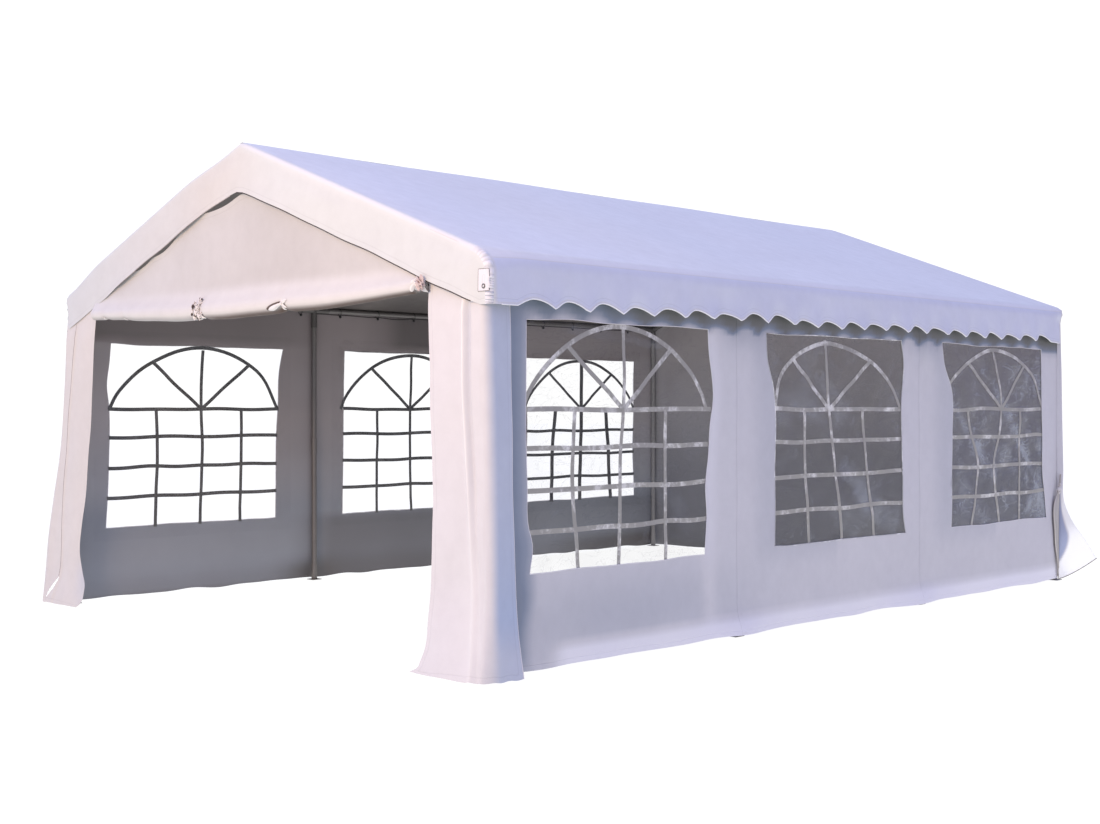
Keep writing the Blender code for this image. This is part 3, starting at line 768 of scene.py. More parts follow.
def door_painted_shade(across, course):
    """Return the painted shade on the gable and door: a little on the panel, and more on the roll's underside
    and its inner turns.
    """
    angle = roll_leaves_at - 2 * np.pi * np.clip(course - 2, 0.0, None)
    shade = 0.35 + 0.65 * ease((across + 0.55) / 0.4)
    under = shade * ease((-np.sin(angle) - 0.30) / 0.62) * (course > 2) * (1 - ease((across - 1.55) / 0.05))
    panel = 0.155 + 0.085 * hump(across, 0.45, 0.55) - 0.05 * ease((-across - 0.5) / 0.4)
    panel = panel * (1 - ease((course - 1.0) / 0.6))
    return np.where(course > 2.45, 0.7 - 0.6 * ease((across - 1.5) / 0.1), np.where(under > 0, under, panel))


# The door's painted shade darkens the panel a little and the roll's underside more
door_cloth = cloth_finish("door_tarpaulin", front_lit_white, dull=roll_shade_brown)
door_stations = spread_between(np.array([door_left, door_right]), 0.026)
for at, _, half in roll_pinches:
    door_stations = np.concatenate([door_stations, at + half * np.linspace(-1.8, 1.8, 11)])
door_stations = np.unique(np.clip(door_stations, door_left, door_right).round(4))
door_courses = np.concatenate([
    np.linspace(0.0, 1.0, 22), np.linspace(1.0, 2.0, 11)[1:], 2 + np.linspace(0.0, 1.0, 25)[1:],
    3 + np.linspace(0.0, roll_turns - 1, int((roll_turns - 1) * 12) + 1)[1:]])
door = lay_sheet(
    "front_gable_and_door", door_stations, door_courses, door_place, (0, -1, 0), [door_cloth, lining],
    ["front_door_roll"], painted_shading=door_painted_shade)


# Door ties: crumpled strips of the same tarpaulin sewn to the gable panel, drawn round the roll and knotted.
# Each has a small knot and loose ends, and the one at the right end gathers the roll.
tie_lift = 0.002
# Bands: place, half width at the top and the bottom, angles where it starts and ends, depth of its crumples
tie_bands = (
    (-0.368, 0.016, 0.034, 50, -85, 0.010), (0.475, 0.008, 0.012, -2, -70, 0.005),
    (1.592, 0.012, 0.016, 75, -85, 0.006), (-1.50, 0.012, 0.018, -40, -80, 0.003),
    (-1.24, 0.008, 0.012, -48, -80, 0.003))
# Knots: place, size and angle on the roll
tie_knots = (
    (-0.356, 0.014, 50), (-0.386, 0.015, 32), (-0.352, 0.016, 14), (-0.396, 0.013, -4), (-0.362, 0.019, -14),
    (-0.392, 0.016, -40), (-0.340, 0.018, -34), (-0.366, 0.014, -58), (0.482, 0.013, -14), (1.588, 0.015, -4),
    (1.59, 0.013, 38))
first_tie_knots = 8
# Painted shadow in the gaps between the first tie's folds, as small dark knots: place, size and angle on the
# roll
tie_gaps = (
    (-0.366, 0.0075, 62), (-0.342, 0.006, 60), (-0.386, 0.010, 14), (-0.398, 0.008, -22),
    (-0.372, 0.007, -52), (-0.346, 0.008, -50), (-0.380, 0.006, -34))
# Loose ends: place, angle on the roll, reach across and round it, half width, and lift
tie_ends = (
    (-0.357, -36, -0.040, -30, 0.011, 0.012), (-0.350, -34, 0.042, -26, 0.012, 0.013),
    (-0.357, 22, 0.020, 26, 0.007, 0.008), (0.478, -14, 0.055, 26, 0.009, 0.010),
    (0.48, -18, 0.040, -16, 0.009, 0.009), (1.59, -10, -0.040, -24, 0.009, 0.008),
    (1.59, 20, -0.036, 20, 0.009, 0.008), (1.60, 35, 0.022, -20, 0.008, 0.008))
# The leaf-shaped mouth of the second tie's loop: its inside as a dark painted shadow, and its pale lower lip
tie_mouths = ((0.475, -10, -0.135, -20, 0.013, 0.005), (0.478, -19, -0.125, -15, 0.011, 0.014))


def on_roll(across, angle, lift):
    """Return a point that lies a little off the roll, at an angle round it from its front."""
    radius, centre_z, centre_y = roll_shape(across)
    return across, -(centre_y + (radius + lift) * np.cos(angle)), centre_z + (radius + lift) * np.sin(angle)


def tie_folds(at, offset, angle):
    """Return a tie's crumples, from -1 in the valleys to 1 on the ridges."""
    folds = np.sin(2 * np.pi * offset / 0.9 + 2.6 * np.sin(4.3 * angle + 20 * at))
    return 0.6 * folds + 0.4 * np.sin(11 * angle + 3 * offset + 13 * at)


def tie_band_place(at, top_half, low_half, high, low, crumple):
    """Return the function that draws a crumpled band round the front of the roll."""
    def place(offset, angle):
        share = ease((math.radians(high) - angle) / math.radians(high - low))
        half = top_half + (low_half - top_half) * share
        lift = tie_lift + crumple * (1 + tie_folds(at, offset, angle)) / 2 * (1.1 - offset ** 2)
        return on_roll(at + offset * half + 0.004 * np.sin(3.3 * angle + 5 * at), angle, lift)
    return place


def tie_end_place(at, angle, reach, round_reach, half, lift):
    """Return the function that lays one loose end of a tie, folded along its middle."""
    def place(offset, share):
        width = half * np.sin(np.pi * np.clip(share, 0.02, 0.98)) ** 0.55
        radius = roll_shape(np.full_like(share, at))[0]
        turned = math.radians(angle) + math.radians(round_reach) * share + offset * width / radius
        raised = tie_lift + lift * np.sin(np.pi * share ** 0.8) * (1 - 0.6 * np.abs(offset))
        return on_roll(at + reach * share, turned, raised)
    return place


def add_knot(name, at, size, angle, finish, lift=0.0):
    """Add a crumpled knot on the roll."""
    place = on_roll(np.array([at]), np.array([math.radians(angle)]), 0.3 * size + lift)
    bpy.ops.mesh.primitive_ico_sphere_add(
        subdivisions=4, radius=size, location=[float(part[0]) for part in place])
    knot = bpy.context.object
    points = np.empty(len(knot.data.vertices) * 3)
    knot.data.vertices.foreach_get("co", points)
    points = points.reshape(-1, 3) / size
    folds = 0.34 * np.sin(4 * points[:, 0] + 5 * points[:, 2] + 9 * at) * np.sin(6 * points[:, 1] - 3 * at)
    folds = folds + 0.16 * np.sin(13 * points[:, 2] + 7 * points[:, 0])
    # The valleys of the crumples carry painted shade
    valleys = knot.data.attributes.new("painted_shading", "FLOAT", "POINT")
    valleys.data.foreach_set("value", np.clip(-3.2 * folds - 0.25, 0.0, 1.0).astype(np.float32))
    points = points * (1 + folds)[:, None] * np.array([0.8, 0.6, 1.1]) * size
    knot.data.vertices.foreach_set("co", points.ravel())
    bpy.ops.object.transform_apply()
    return end_piece(name, finish, 35)


# The ties' dark brown tint is painted shade in their crumples
tie_cloth = cloth_finish(
    "tie_tarpaulin", tuple(1.15 * part for part in front_lit_white), crease=0.3, dull=(0.14, 0.085, 0.06))
tie_gap_shadow = cloth_finish("tie_gap_shadow", (0.09, 0.06, 0.05), crease=0.3)
# The open end of the roll: its inside is pinkish brown as painted shade
mouth_shade_cloth = cloth_finish("roll_mouth_painted_shade", (0.60, 0.49, 0.47), crease=0.3, dull=(0.40, 0.30, 0.28))
for number, (at, top_half, low_half, high, low, crumple) in enumerate(tie_bands, start=1):
    # Painted shade in the valleys of the tie's crumples
    def tie_painted_shade(offset, angle, at=at):
        return np.clip(-1.5 * tie_folds(at, offset, angle) - 0.45, 0.0, 1.0)

    lay_sheet(
        f"door_tie_{number}", np.linspace(-1.0, 1.0, 15), np.radians(np.linspace(high, low, 46)),
        tie_band_place(at, top_half, low_half, high, low, crumple), (0, -1, 0), [tie_cloth], thickness=0.0008,
        painted_shading=tie_painted_shade)
for number, (at, size, angle) in enumerate(tie_knots, start=1):
    lift = 0.006 if number <= first_tie_knots else 0.0
    add_knot(f"door_tie_knot_{number}", at, size, angle, tie_cloth, lift)
for number, (at, size, angle) in enumerate(tie_gaps, start=1):
    add_knot(f"door_tie_gap_shadow_{number}", at, size, angle, tie_gap_shadow, 0.016)
for number, shape in enumerate(tie_ends + tie_mouths, start=1):
    lay_sheet(
        f"door_tie_end_{number}", np.linspace(-1.0, 1.0, 7), np.linspace(0.0, 1.0, 16), tie_end_place(*shape),
        (0, -1, 0), [tie_gap_shadow if shape is tie_mouths[0] else tie_cloth], thickness=0.0008)
add_knot("door_roll_mouth", 1.640, 0.028, 6, mouth_shade_cloth)


# Front corner strips: what is left of the front wall on each side of the doorway. Each wraps round its corner
# post and ends in a flap on the side wall, has a fold or a seam down its front, and its hem stands out at the
# ground.
side_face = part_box("right_side_wall")[1].x
flap_face = side_face + 0.0033
corner_rounds = {"front": 0.05, "rear": 0.018}
corner_centre_x = flap_face - corner_rounds["front"]
rear_centre_x = flap_face - corner_rounds["rear"]
flap_ends = {"front": 2.79, "rear": 2.925}
right_doorway = (
    (0.0, 1.597), (0.015, 1.635), (0.06, 1.664), (0.103, 1.679), (0.25, 1.675), (0.45, 1.680), (0.65, 1.685),
    (1.24, 1.669), (1.62, 1.652), (2.2, 1.664))
left_doorway = (
    (0.0, 1.765), (0.02, 1.725), (0.047, 1.700), (0.099, 1.695), (0.138, 1.698), (0.219, 1.749),
    (0.32, 1.793), (0.505, 1.785), (0.68, 1.752), (0.895, 1.724), (1.155, 1.700), (1.565, 1.673),
    (1.867, 1.646), (2.2, 1.640))
right_fold = (
    (0.0, 2.03), (0.2, 2.005), (0.4, 1.985), (0.68, 1.965), (0.96, 1.95), (1.25, 1.925), (2.2, 1.915))
left_seam = (
    (0.0, 2.10), (0.06, 2.085), (0.195, 2.045), (0.619, 2.045), (1.019, 2.010), (1.417, 1.970),
    (1.847, 1.893), (2.2, 1.86))
# How far the cloth at each corner stands out, at heights above its hem: the front forwards, the corner
# outwards and forwards, and the flap's end outwards
corner_shapes = {
    ("right", "front"): (
        ((0.0, 0.077), (0.06, 0.061), (0.103, 0.051), (0.25, 0.023), (0.45, 0.003), (0.65, 0.0), (2.2, 0.0)),
        ((0.0, 0.096), (0.3, 0.082), (0.68, 0.075), (1.24, 0.058), (1.77, 0.036), (2.2, 0.008)),
        ((0.0, 0.008), (0.5, 0.002), (1.0, 0.0), (2.2, 0.0)),
        ((0.0, 0.108), (0.22, 0.068), (0.49, 0.046), (1.24, 0.023), (1.77, 0.010), (2.2, 0.0))),
    ("left", "front"): (
        ((0.0, 0.077), (0.2, 0.045), (0.4, 0.03), (0.68, 0.02), (1.0, 0.01), (1.5, 0.0), (2.2, 0.0)),
        ((0.0, 0.232), (0.3, 0.236), (0.4, 0.233), (0.677, 0.189), (0.993, 0.121), (1.53, 0.069),
            (1.86, 0.042), (2.2, 0.01)),
        ((0.0, 0.08), (0.4, 0.05), (0.677, 0.031), (0.993, 0.014), (1.53, 0.0), (2.2, 0.0)),
        ((0.0, 0.12), (0.5, 0.06), (1.24, 0.02), (2.2, 0.0))),
    ("right", "rear"): (
        ((0.0, 0.13), (0.12, 0.115), (0.27, 0.055), (0.41, 0.012), (0.6, 0.0), (2.2, 0.0)),
        ((0.0, 0.234), (0.12, 0.165), (0.27, 0.085), (0.41, 0.042), (0.67, 0.036), (1.04, 0.026),
            (1.7, 0.014), (2.2, 0.0)),
        ((0.0, 0.13), (0.12, 0.115), (0.27, 0.055), (0.41, 0.012), (0.6, 0.0), (2.2, 0.0)),
        ((0.0, 0.008), (0.6, 0.0), (2.2, -0.0022))),
    ("left", "rear"): (
        ((0.0, 0.07), (0.3, 0.02), (0.6, 0.0), (2.2, 0.0)),
        ((0.0, 0.06), (0.3, 0.02), (1.0, 0.008), (2.2, 0.0)),
        ((0.0, 0.05), (0.3, 0.02), (0.6, 0.0), (2.2, 0.0)),
        ((0.0, 0.03), (0.3, 0.010), (1.0, 0.004), (2.2, 0.0))),
}


def wrap_place(flat, turn, flap, rise, height, near, turned, corner, proud=0.0):
    """Return a point of an end wall.

    flat is its distance from the middle, turn its share of the way round the corner post and flap its share
    along the flap. rise is its height above the hem, near how much it follows the corner outwards, turned how
    much it follows it forwards, and proud how far it stands off the wall.
    """
    side_name, end_name = corner
    forward, corner_x, corner_y, flap_x = (through(points, rise) for points in corner_shapes[corner])
    forward, corner_y = np.maximum(forward, 0.0), np.maximum(corner_y, 0.0)
    angle = turn * math.pi / 2
    rounding = corner_rounds[end_name]
    centre_y = end_face - rounding
    x = flat + rounding * np.sin(angle) + near * corner_x * (1 - flap) + flap_x * flap
    y = centre_y + rounding * np.cos(angle) - flap * (centre_y - flap_ends[end_name])
    y = y + (forward * (1 - turned) + corner_y * turned) * (1 - flap)
    side = 1.0 if side_name == "right" else -1.0
    end = 1.0 if end_name == "rear" else -1.0
    return side * (x + proud * np.sin(angle)), end * (y + proud * np.cos(angle)), height


def strip_place(side_name):
    """Return the function that places a front corner strip: course is the share of its height."""
    corner = (side_name, "front")
    doorway, seam = (right_doorway, right_fold) if side_name == "right" else (left_doorway, left_seam)
    seed = 50 if side_name == "right" else 60

    def place(station, course):
        low = np.clip(course, 0.0, None) * 2.05
        corner_x = corner_centre_x + through(corner_shapes[corner][1], low)
        edge = through(doorway, low) + 0.002 * wander(low, 0.3, seed)
        seam_x = np.minimum(through(seam, low), corner_x - 0.03)
        past = np.minimum(seam_x + 0.055, corner_x - 0.004)
        flat = np.where(station < 1, edge + (seam_x - 0.025 - edge) * station, np.where(
            station < 2, seam_x - 0.025 + (past - seam_x + 0.025) * (station - 1),
            past + (corner_x - past) * np.clip(station - 2, 0.0, 1.0)))
        before = 0.35 * ease(1 - (corner_x - flat) / 0.08)
        turned = np.where(station < 3, before, 0.35 + 0.65 * ease(station - 3))
        folded_x = flat
        flat = np.where(station > 3, corner_centre_x, flat)
        turn = np.clip(station - 3, 0.0, 1.0)
        flap = np.clip(station - 4, 0.0, 1.0)
        top = apex - 0.016 - slope * (np.minimum(flat, 2.0) + 0.05 * np.sin(turn * math.pi / 2))
        top = top - 0.03 * ease((np.minimum(flat, 2.0) - 1.85) / 0.13)
        hem = 0.001 + 0.003 * (1 + wander(station, 0.8, seed + 1))
        if side_name == "left":
            hem = hem + 0.2 * ease((station - 3.55) / 0.6)
        height = hem * (1 - np.clip(course * 9, 0, 1)) + top * course
        fold_off = folded_x - seam_x
        if side_name == "right":
            valley = 0.009 * hump(fold_off, 0.032, 0.013)
            ridge = 0.017 * hump(fold_off, 0.0, 0.015) - valley
            ridge = ridge * (0.25 + 0.75 * ease((height - 0.3) / 0.8))
        else:
            ridge = 0.004 * hump(fold_off, 0.0, 0.012) + 0.005 * ease(fold_off / 0.012)
        below_band = ease((1.88 - height) / 0.12)
        cheek = 0.6 + 0.5 * wander(height, 0.9, seed + 2)
        cheek = 0.006 * np.sin(np.pi * np.clip(station, 0.0, 1.0)) * cheek
        swell = 0.003 * billow(flat + flap * 0.15, height, 0.4, seed + 3) * (turn < 0.01)
        ripple = 0.003 * flap * (1 + wander(height, 0.6, seed + 4))
        proud = below_band * (ridge * (turn <= 0) + cheek + swell + 0.004) + ripple
        near = np.where(station > 3, 1.0, 0.0)
        return wrap_place(flat, turn, flap, low, height, near, turned, corner, proud)
    return place


def strip_painted_shade(station, course):
    """Return the painted shade on a corner strip: more round the corner and towards the flap's lower end."""
    low = np.clip(1 - course / 0.45, 0.0, 1.0)
    foot = ease((0.16 - course) / 0.12)
    return ease((station - 3.25 - 0.24 * low) / (0.75 - 0.2 * low)) * (0.46 + 0.30 * low - 0.34 * foot)


def right_strip_painted_shading(station, course):
    """Return the right strip's painted shading: a painted highlight on its fold, with a line of painted shade
    behind its upper half.
    """
    fold_off = 0.08 * (station - 1) - 0.025
    ridge = np.exp(-(fold_off / (0.013 + 0.02 * ease((0.4 - course) / 0.2))) ** 2)
    ridge = ridge * (0.5 + 0.5 * ease((course - 0.3) / 0.3))
    valley = hump(fold_off, 0.032, 0.014) * ease((course - 0.42) / 0.4)
    return strip_painted_shade(station, course) - (0.9 * ridge - 0.2 * valley) * (station < 2)


def left_strip_painted_shade(station, course):
    """Return the painted shade on the left strip: as on the right one, and at the lower corner of the
    doorway.
    """
    doorway_foot = np.exp(-(station / 0.28) ** 2 - ((course - 0.075) / 0.055) ** 2)
    return np.maximum(strip_painted_shade(station, course), 0.34 * doorway_foot)


def foot_slit(station, course):
    """Return whether a place on the left strip lies in the leaf-shaped slit at the foot of its seam."""
    share = (course * 2.05 - 0.035) / 0.145
    return 0 < share < 1 and abs(station - 1.32 - 1.1 * (1 - share)) < 0.05 + 0.20 * math.sin(math.pi * share)


# The strips' painted shade is a blue tint round the corners, and their painted highlight a warm white
strip_cloth = cloth_finish(
    "strip_tarpaulin", (0.693, 0.668, 0.680), dull=(0.49, 0.69, 1.0), highlight_colour=(0.80, 0.775, 0.765))
# painted warm light: the left strip gets a warmer copy of the front's white
left_lit_white = tuple(part * warmth for part, warmth in zip(front_lit_white, (1.01, 0.97, 0.925)))
left_strip_cloth = cloth_finish("left_strip_tarpaulin", left_lit_white, dull=(0.60, 0.76, 1.02))
strip_stations = graded((0.0, 1.0, 2.0, 3.0, 4.0, 5.0), (13, 25, 9, 15, 10))
strip_courses = graded((0.0, 0.12, 0.3, 1.0), (27, 16, 34))
flap_end_station = 5.0
for side_name, finish, painted_shading, cut, replaced in (
        ("left", left_strip_cloth, left_strip_painted_shade, foot_slit, []),
        ("right", strip_cloth, right_strip_painted_shading, None, ["front_end_wall"])):
    place = strip_place(side_name)
    strip = lay_sheet(
        f"{side_name}_front_corner_strip", strip_stations, strip_courses, place, (0, -1, 0), [finish, lining],
        replaced, cut=cut, painted_shading=painted_shading)
    line = line_on(place, flap_end_station, np.linspace(0.0, 0.9, 90))
    strip_trims = [lay_piping(f"{side_name}_flap_welt", line, 0.0022, trim)]
    if side_name == "left":
        line = line_on(place, 1.38, np.linspace(0.09, 0.91, 90)) + np.array([0.0, 0.0008, 0.0])
        strip_trims.append(lay_piping("left_strip_seam", line, 0.0019, pale_seam_and_shadow))


# Rear wall: one sheet that closes the rear gable. Two long zips let its middle open as a door, and both ends
# wrap round the rear corner posts. Its hem stands out at the ground, most of all at the right corner.
rear_zip_place = 1.62
rear_zip_top = 0.86  # share of the wall's height there
right_kick = 0.16  # how high the hem's outer tip stands at the right corner


def rear_place(station, course, proud=0.0):
    """Return a point of the rear wall: station is 0 in the middle, 1 to 2 round a corner, and up to 3 on a
    flap."""
    reach = np.abs(station)
    side = np.where(station < 0, -1.0, 1.0)
    flat = np.minimum(reach, 1.0) * rear_centre_x
    turn = np.clip(reach - 1, 0.0, 1.0)
    flap = np.clip(reach - 2, 0.0, 1.0)
    top = apex - 0.016 - slope * (flat + 0.05 * np.sin(turn * math.pi / 2))
    top = top - 0.03 * ease((flat - 1.85) / 0.13)
    run = side * (flat + 0.15 * flap)
    tip = ease((flat - 1.62) / 0.34) * (1 - flap) ** 1.3 * (side > 0)
    hem = 0.003 + 0.006 * (1 + wander(run, 0.9, 71)) + right_kick * tip
    height = hem + (top - hem) * course
    below_band = ease((band_edge(side * flat) - 0.02 - height) / 0.2)
    folds = 0.006 * (1 + billow(run, height * 0.35, 0.5, 72)) * (1 - turn)
    middle = np.cos(np.pi * np.clip(flat / rear_centre_x, 0, 1) / 2) ** 2
    sag = 0.012 * hump(height, 1.2, 0.7) * middle
    stand = below_band * (folds + sag) + 0.001 * flap + proud
    near = ease((flat - 1.5) / 0.46)
    turned = np.where(turn > 0, 0.35 + 0.65 * ease(turn), 0.35 * ease((flat - 1.85) / 0.12))
    rise = height - hem
    left, right = (
        wrap_place(flat, turn, flap, rise, height, near, turned, (side_name, "rear"), stand)
        for side_name in ("left", "right"))
    return np.where(station < 0, left[0], right[0]), np.where(station < 0, left[1], right[1]), height


def rear_painted_shading(station, course):
    """Return the rear wall's painted shading: a painted highlight on the tip that stands out at the right
    corner, painted shade where it folds in at the flap, and a little painted light at its left end."""
    tip = ease((station - 1.1) / 0.3) * ease((0.34 - course) / 0.12)
    tucked = ease((station - 2.25 - 0.9 * ease((0.14 - course) / 0.12)) / 0.2) * ease((course - 0.035) / 0.03)
    return tip * (tucked * 1.9 - 1.0) - 0.12 * ease((-station - 0.9) / 0.06)


rear_side = graded((0.0, 1.0, 2.0, 3.0), (56, 9, 22))
rear_stations = np.concatenate([-rear_side[:0:-1], rear_side])
rear_courses = graded((0.0, 0.3, 1.0), (44, 40))
# The rear wall's painted shade is a blue tint, and its painted highlight near white
rear_cloth = cloth_finish(
    "rear_tarpaulin", cloth_white, dull=(0.52, 0.60, 0.80), highlight_colour=(0.99, 0.99, 0.96))
rear_lining = lining_finish("rear_lining", rear_lining_shade_tones)
rear_wall = lay_sheet(
    "rear_end_wall_sheet", rear_stations, rear_courses, rear_place, (0, 1, 0), [rear_cloth, rear_lining],
    ["rear_end_wall"], painted_shading=rear_painted_shading)

zip_grey = cloth_finish("zip_tape", (0.50, 0.50, 0.52), roughness=0.7, weave=0.001, crease=0.3)
zip_teeth = steel_finish("zip_teeth", ((0.45, 0.45, 0.46), (0.6, 0.6, 0.6)), 0.35)
zip_rows = np.linspace(0.0, rear_zip_top, 110)
for side_name, side in sides:
    centre = side * rear_zip_place / corner_centre_x

    def zip_tape_place(offset, course, centre=centre):
        return rear_place(centre + offset / corner_centre_x, course, proud=0.0016)

    lay_sheet(
        f"rear_{side_name}_zip_tape", np.linspace(-0.016, 0.016, 5), zip_rows, zip_tape_place, (0, 1, 0),
        [zip_grey], thickness=0.0009)
    line = line_on(rear_place, centre, zip_rows, proud=0.0022)
    lay_piping(f"rear_{side_name}_zip", line, 0.0026, zip_teeth)
    slider = line_on(rear_place, centre, 0.012, proud=0.006)
    bpy.ops.mesh.primitive_cube_add(size=1, location=slider, scale=(0.014, 0.007, 0.022))
    body = bpy.context.object
    bpy.ops.object.transform_apply()
    bpy.ops.object.modifier_add(type="BEVEL")
    body.modifiers[-1].width = 0.0022
    body.modifiers[-1].segments = 2
    bpy.ops.object.modifier_apply(modifier=body.modifiers[-1].name)
    bpy.ops.mesh.primitive_torus_add(
        location=slider + np.array([0.0, 0.004, -0.022]), rotation=(math.pi / 2, 0, 0), major_radius=0.012,
        minor_radius=0.0016, major_segments=28, minor_segments=8)
    ring = bpy.context.object
    bpy.ops.object.transform_apply()
    join([ring, body])
    end_piece(f"rear_{side_name}_zip_slider", zip_teeth, 35)

# A crumpled edge of the rear wall shows along its corner, bound in brown and knotted at its top
loose_rows = np.linspace(0.03, 0.80, 60)
loose_middle = (
    (0.03, 2.925), (0.15, 2.915), (0.31, 2.888), (0.46, 2.868), (0.61, 2.880), (0.70, 2.905), (0.80, 2.93))
loose_half = (
    (0.03, 0.008), (0.15, 0.012), (0.31, 0.024), (0.46, 0.034), (0.58, 0.032), (0.68, 0.012), (0.73, 0.010),
    (0.80, 0.004))


def loose_edge_place(offset, height):
    """Return a point of the narrow edge that hangs along the rear right corner."""
    half = through(loose_half, height) * (1 + 0.1 * wander(height, 0.2, 76))
    x = side_face + 0.014 + 0.004 * wander(height, 0.5, 75) + 0.016 * ease((height - 0.3) / 0.5)
    fold = 0.008 * np.sin(2.4 * np.pi * offset + 1.0) * ease(half / 0.03)
    return x + fold, through(loose_middle, height) + 0.004 * wander(height, 0.4, 77) + offset * half, height


edge_brown = cloth_finish("edge_binding", (0.16, 0.12, 0.09), roughness=0.6, crease=0.3)
edge_tan = cloth_finish("tan_binding", (0.27, 0.22, 0.18), roughness=0.6, crease=0.3)
loose_cloth = cloth_finish("loose_edge_tarpaulin", (0.60, 0.575, 0.54), crease=0.3)
lay_sheet(
    "rear_right_loose_edge", np.linspace(-1.0, 1.0, 9), loose_rows, loose_edge_place, (1, 0, 0),
    [loose_cloth], thickness=0.0009)
for number, offset in enumerate((-1.0, 1.0), start=1):
    line = line_on(loose_edge_place, offset, loose_rows)
    lay_piping(f"rear_right_edge_binding_{number}", line, 0.0014, edge_tan)
tip_rows = np.concatenate([np.linspace(1.4, 3.0, 40), np.full(30, 3.0)])
tip_courses = np.concatenate([np.zeros(40), np.linspace(0.0, 0.3, 30)])
line = line_on(rear_place, tip_rows, tip_courses, proud=0.001)
lay_piping("rear_right_hem_binding", line, 0.0023, edge_brown)
for number, (rise, size) in enumerate(((0.68, 0.020), (0.72, 0.013)), start=1):
    knot = add_knot(f"rear_right_knot_{number}", 0.4 * number, size, 20 * number, tie_cloth)
    middle = np.array([part.co for part in knot.data.vertices]).mean(axis=0)
    knot.location = line_on(loose_edge_place, 0.0, rise) - middle
    bpy.ops.object.transform_apply()


# Side walls: one sheet a side, hung from the eave tube outside the posts, with three windows cut out of it.
# A narrow tape covers the seam over each middle post, a welt edges each opening, and the hem is puckered.
window_half = 0.71
window_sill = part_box("right_window_1_pane")[0].z + 0.015
window_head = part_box("right_window_1_pane")[1].z - 0.015
window_centres = [middle_of(f"right_window_{number}_pane", 1) for number in range(1, 4)]
wall_low = 0.006
wall_top = 2.046
edge_reach = 0.13
# The openings' edges are drawn out of line: for each window, the places of its two edges at each height
window_edges = {
    ("right", 1): (
        ((0.489, -2.642), (0.636, -2.622), (0.712, -2.648), (0.923, -2.659), (1.314, -2.667),
            (1.734, -2.667)),
        ((0.49, -1.278), (0.702, -1.262), (0.873, -1.276), (1.043, -1.249), (1.214, -1.235), (1.351, -1.213),
            (1.471, -1.224), (1.607, -1.246), (1.74, -1.257))),
    ("right", 2): (
        ((0.49, -0.637), (0.912, -0.642), (1.301, -0.637), (1.436, -0.657), (1.569, -0.705), (1.73, -0.719)),
        ((0.482, 0.79), (0.6, 0.758), (0.868, 0.752), (1.102, 0.742), (1.302, 0.735), (1.627, 0.764),
            (1.735, 0.733))),
    ("right", 3): (
        ((0.484, 1.369), (1.112, 1.374), (1.441, 1.362), (1.581, 1.277), (1.717, 1.246)),
        ((0.487, 2.747), (0.65, 2.72), (0.8, 2.69), (1.057, 2.682), (1.727, 2.665))),
    ("left", 1): (
        ((0.502, -2.688), (0.948, -2.665), (1.11, -2.662), (1.309, -2.669), (1.441, -2.683), (1.623, -2.658),
            (1.754, -2.647)),
        ((0.484, -1.313), (0.915, -1.31), (1.147, -1.303), (1.31, -1.292), (1.564, -1.281), (1.737, -1.246))),
    ("left", 2): (
        ((0.464, -0.693), (1.0, -0.685), (1.734, -0.671)), ((0.47, 0.735), (1.1, 0.728), (1.735, 0.74))),
    ("left", 3): (((0.47, 1.28), (1.1, 1.30), (1.735, 1.275)), ((0.47, 2.70), (1.1, 2.685), (1.735, 2.70))),
}
# Soft pleats under the valance: side, place along the wall, height, half width, half height and depth
wall_pleats = (
    (1.0, 1.03, 1.72, 0.035, 0.11, 0.016), (1.0, 1.12, 1.64, 0.03, 0.08, 0.008),
    (1.0, 2.74, 1.2, 0.03, 0.5, 0.006), (1.0, 0.86, 1.69, 0.03, 0.09, 0.007),
    (-1.0, -0.93, 1.5, 0.05, 0.4, 0.005))


def wall_bulge(side, along, height):
    """Return how far a side wall stands out between the posts, on the right side (1) or the left (-1)."""
    seed = 80 if side > 0 else 90
    between = np.sin(np.pi * (along - frame_places[0]) / bay) ** 2
    belly = 0.006 * between * np.sin(np.pi * np.clip(height / wall_top, 0.0, 1.0))
    over_foot = 0.032 * (1 - between) ** 6 * ease(1 - height / 0.16) * ease((2.6 - np.abs(along)) / 0.2)
    at_rear = 1 - ease((along - 2.80) / 0.1)
    folds = 0.0035 * (1 + billow(along, height * 0.3, 0.55, seed)) * ease((wall_top - height) / 0.3) * at_rear
    waves = 1 + 0.6 * wander(along, 0.6, seed + 1)
    kick = 0.014 * np.clip(1 - height / 0.3, 0.0, 1.0) ** 2 * waves * at_rear
    pleats = sum(
        depth * np.exp(-((along - at) / half) ** 2 - ((height - middle) / high) ** 2)
        for where, at, middle, half, high, depth in wall_pleats if where == side)
    return belly + folds + kick + pleats + over_foot


def wall_place(side_name):
    """Return the function that places a side wall."""
    side = 1.0 if side_name == "right" else -1.0
    seed = 84 if side_name == "right" else 94

    def place(along, height, proud=0.0):
        low = ease(1 - (height - wall_low) / 0.12)
        hem = 0.008 * (1 + wander(along, 0.5, seed)) * low
        inner = ease((height - 0.1) / 0.2) * ease((wall_top - height) / 0.15)
        inner = inner * ease((2.85 - np.abs(along)) / 0.1)
        shift = 0.004 * billow(along, height, 0.45, seed + 1) * inner
        rise = 0.004 * billow(along, height, 0.5, seed + 2) * inner
        for (where, number), edges in window_edges.items():
            for points, offset in zip(edges, (-window_half, window_half)):
                at = window_centres[number - 1] + offset
                pull = (through(points, height) - at) * hump(along, at, edge_reach)
                shift = shift + pull * (where == side_name) * ease((height - 0.15) / 0.25)
        x = side_face + wall_bulge(side, along, height) + proud
        return side * x, along + shift, height + hem + rise
    return place


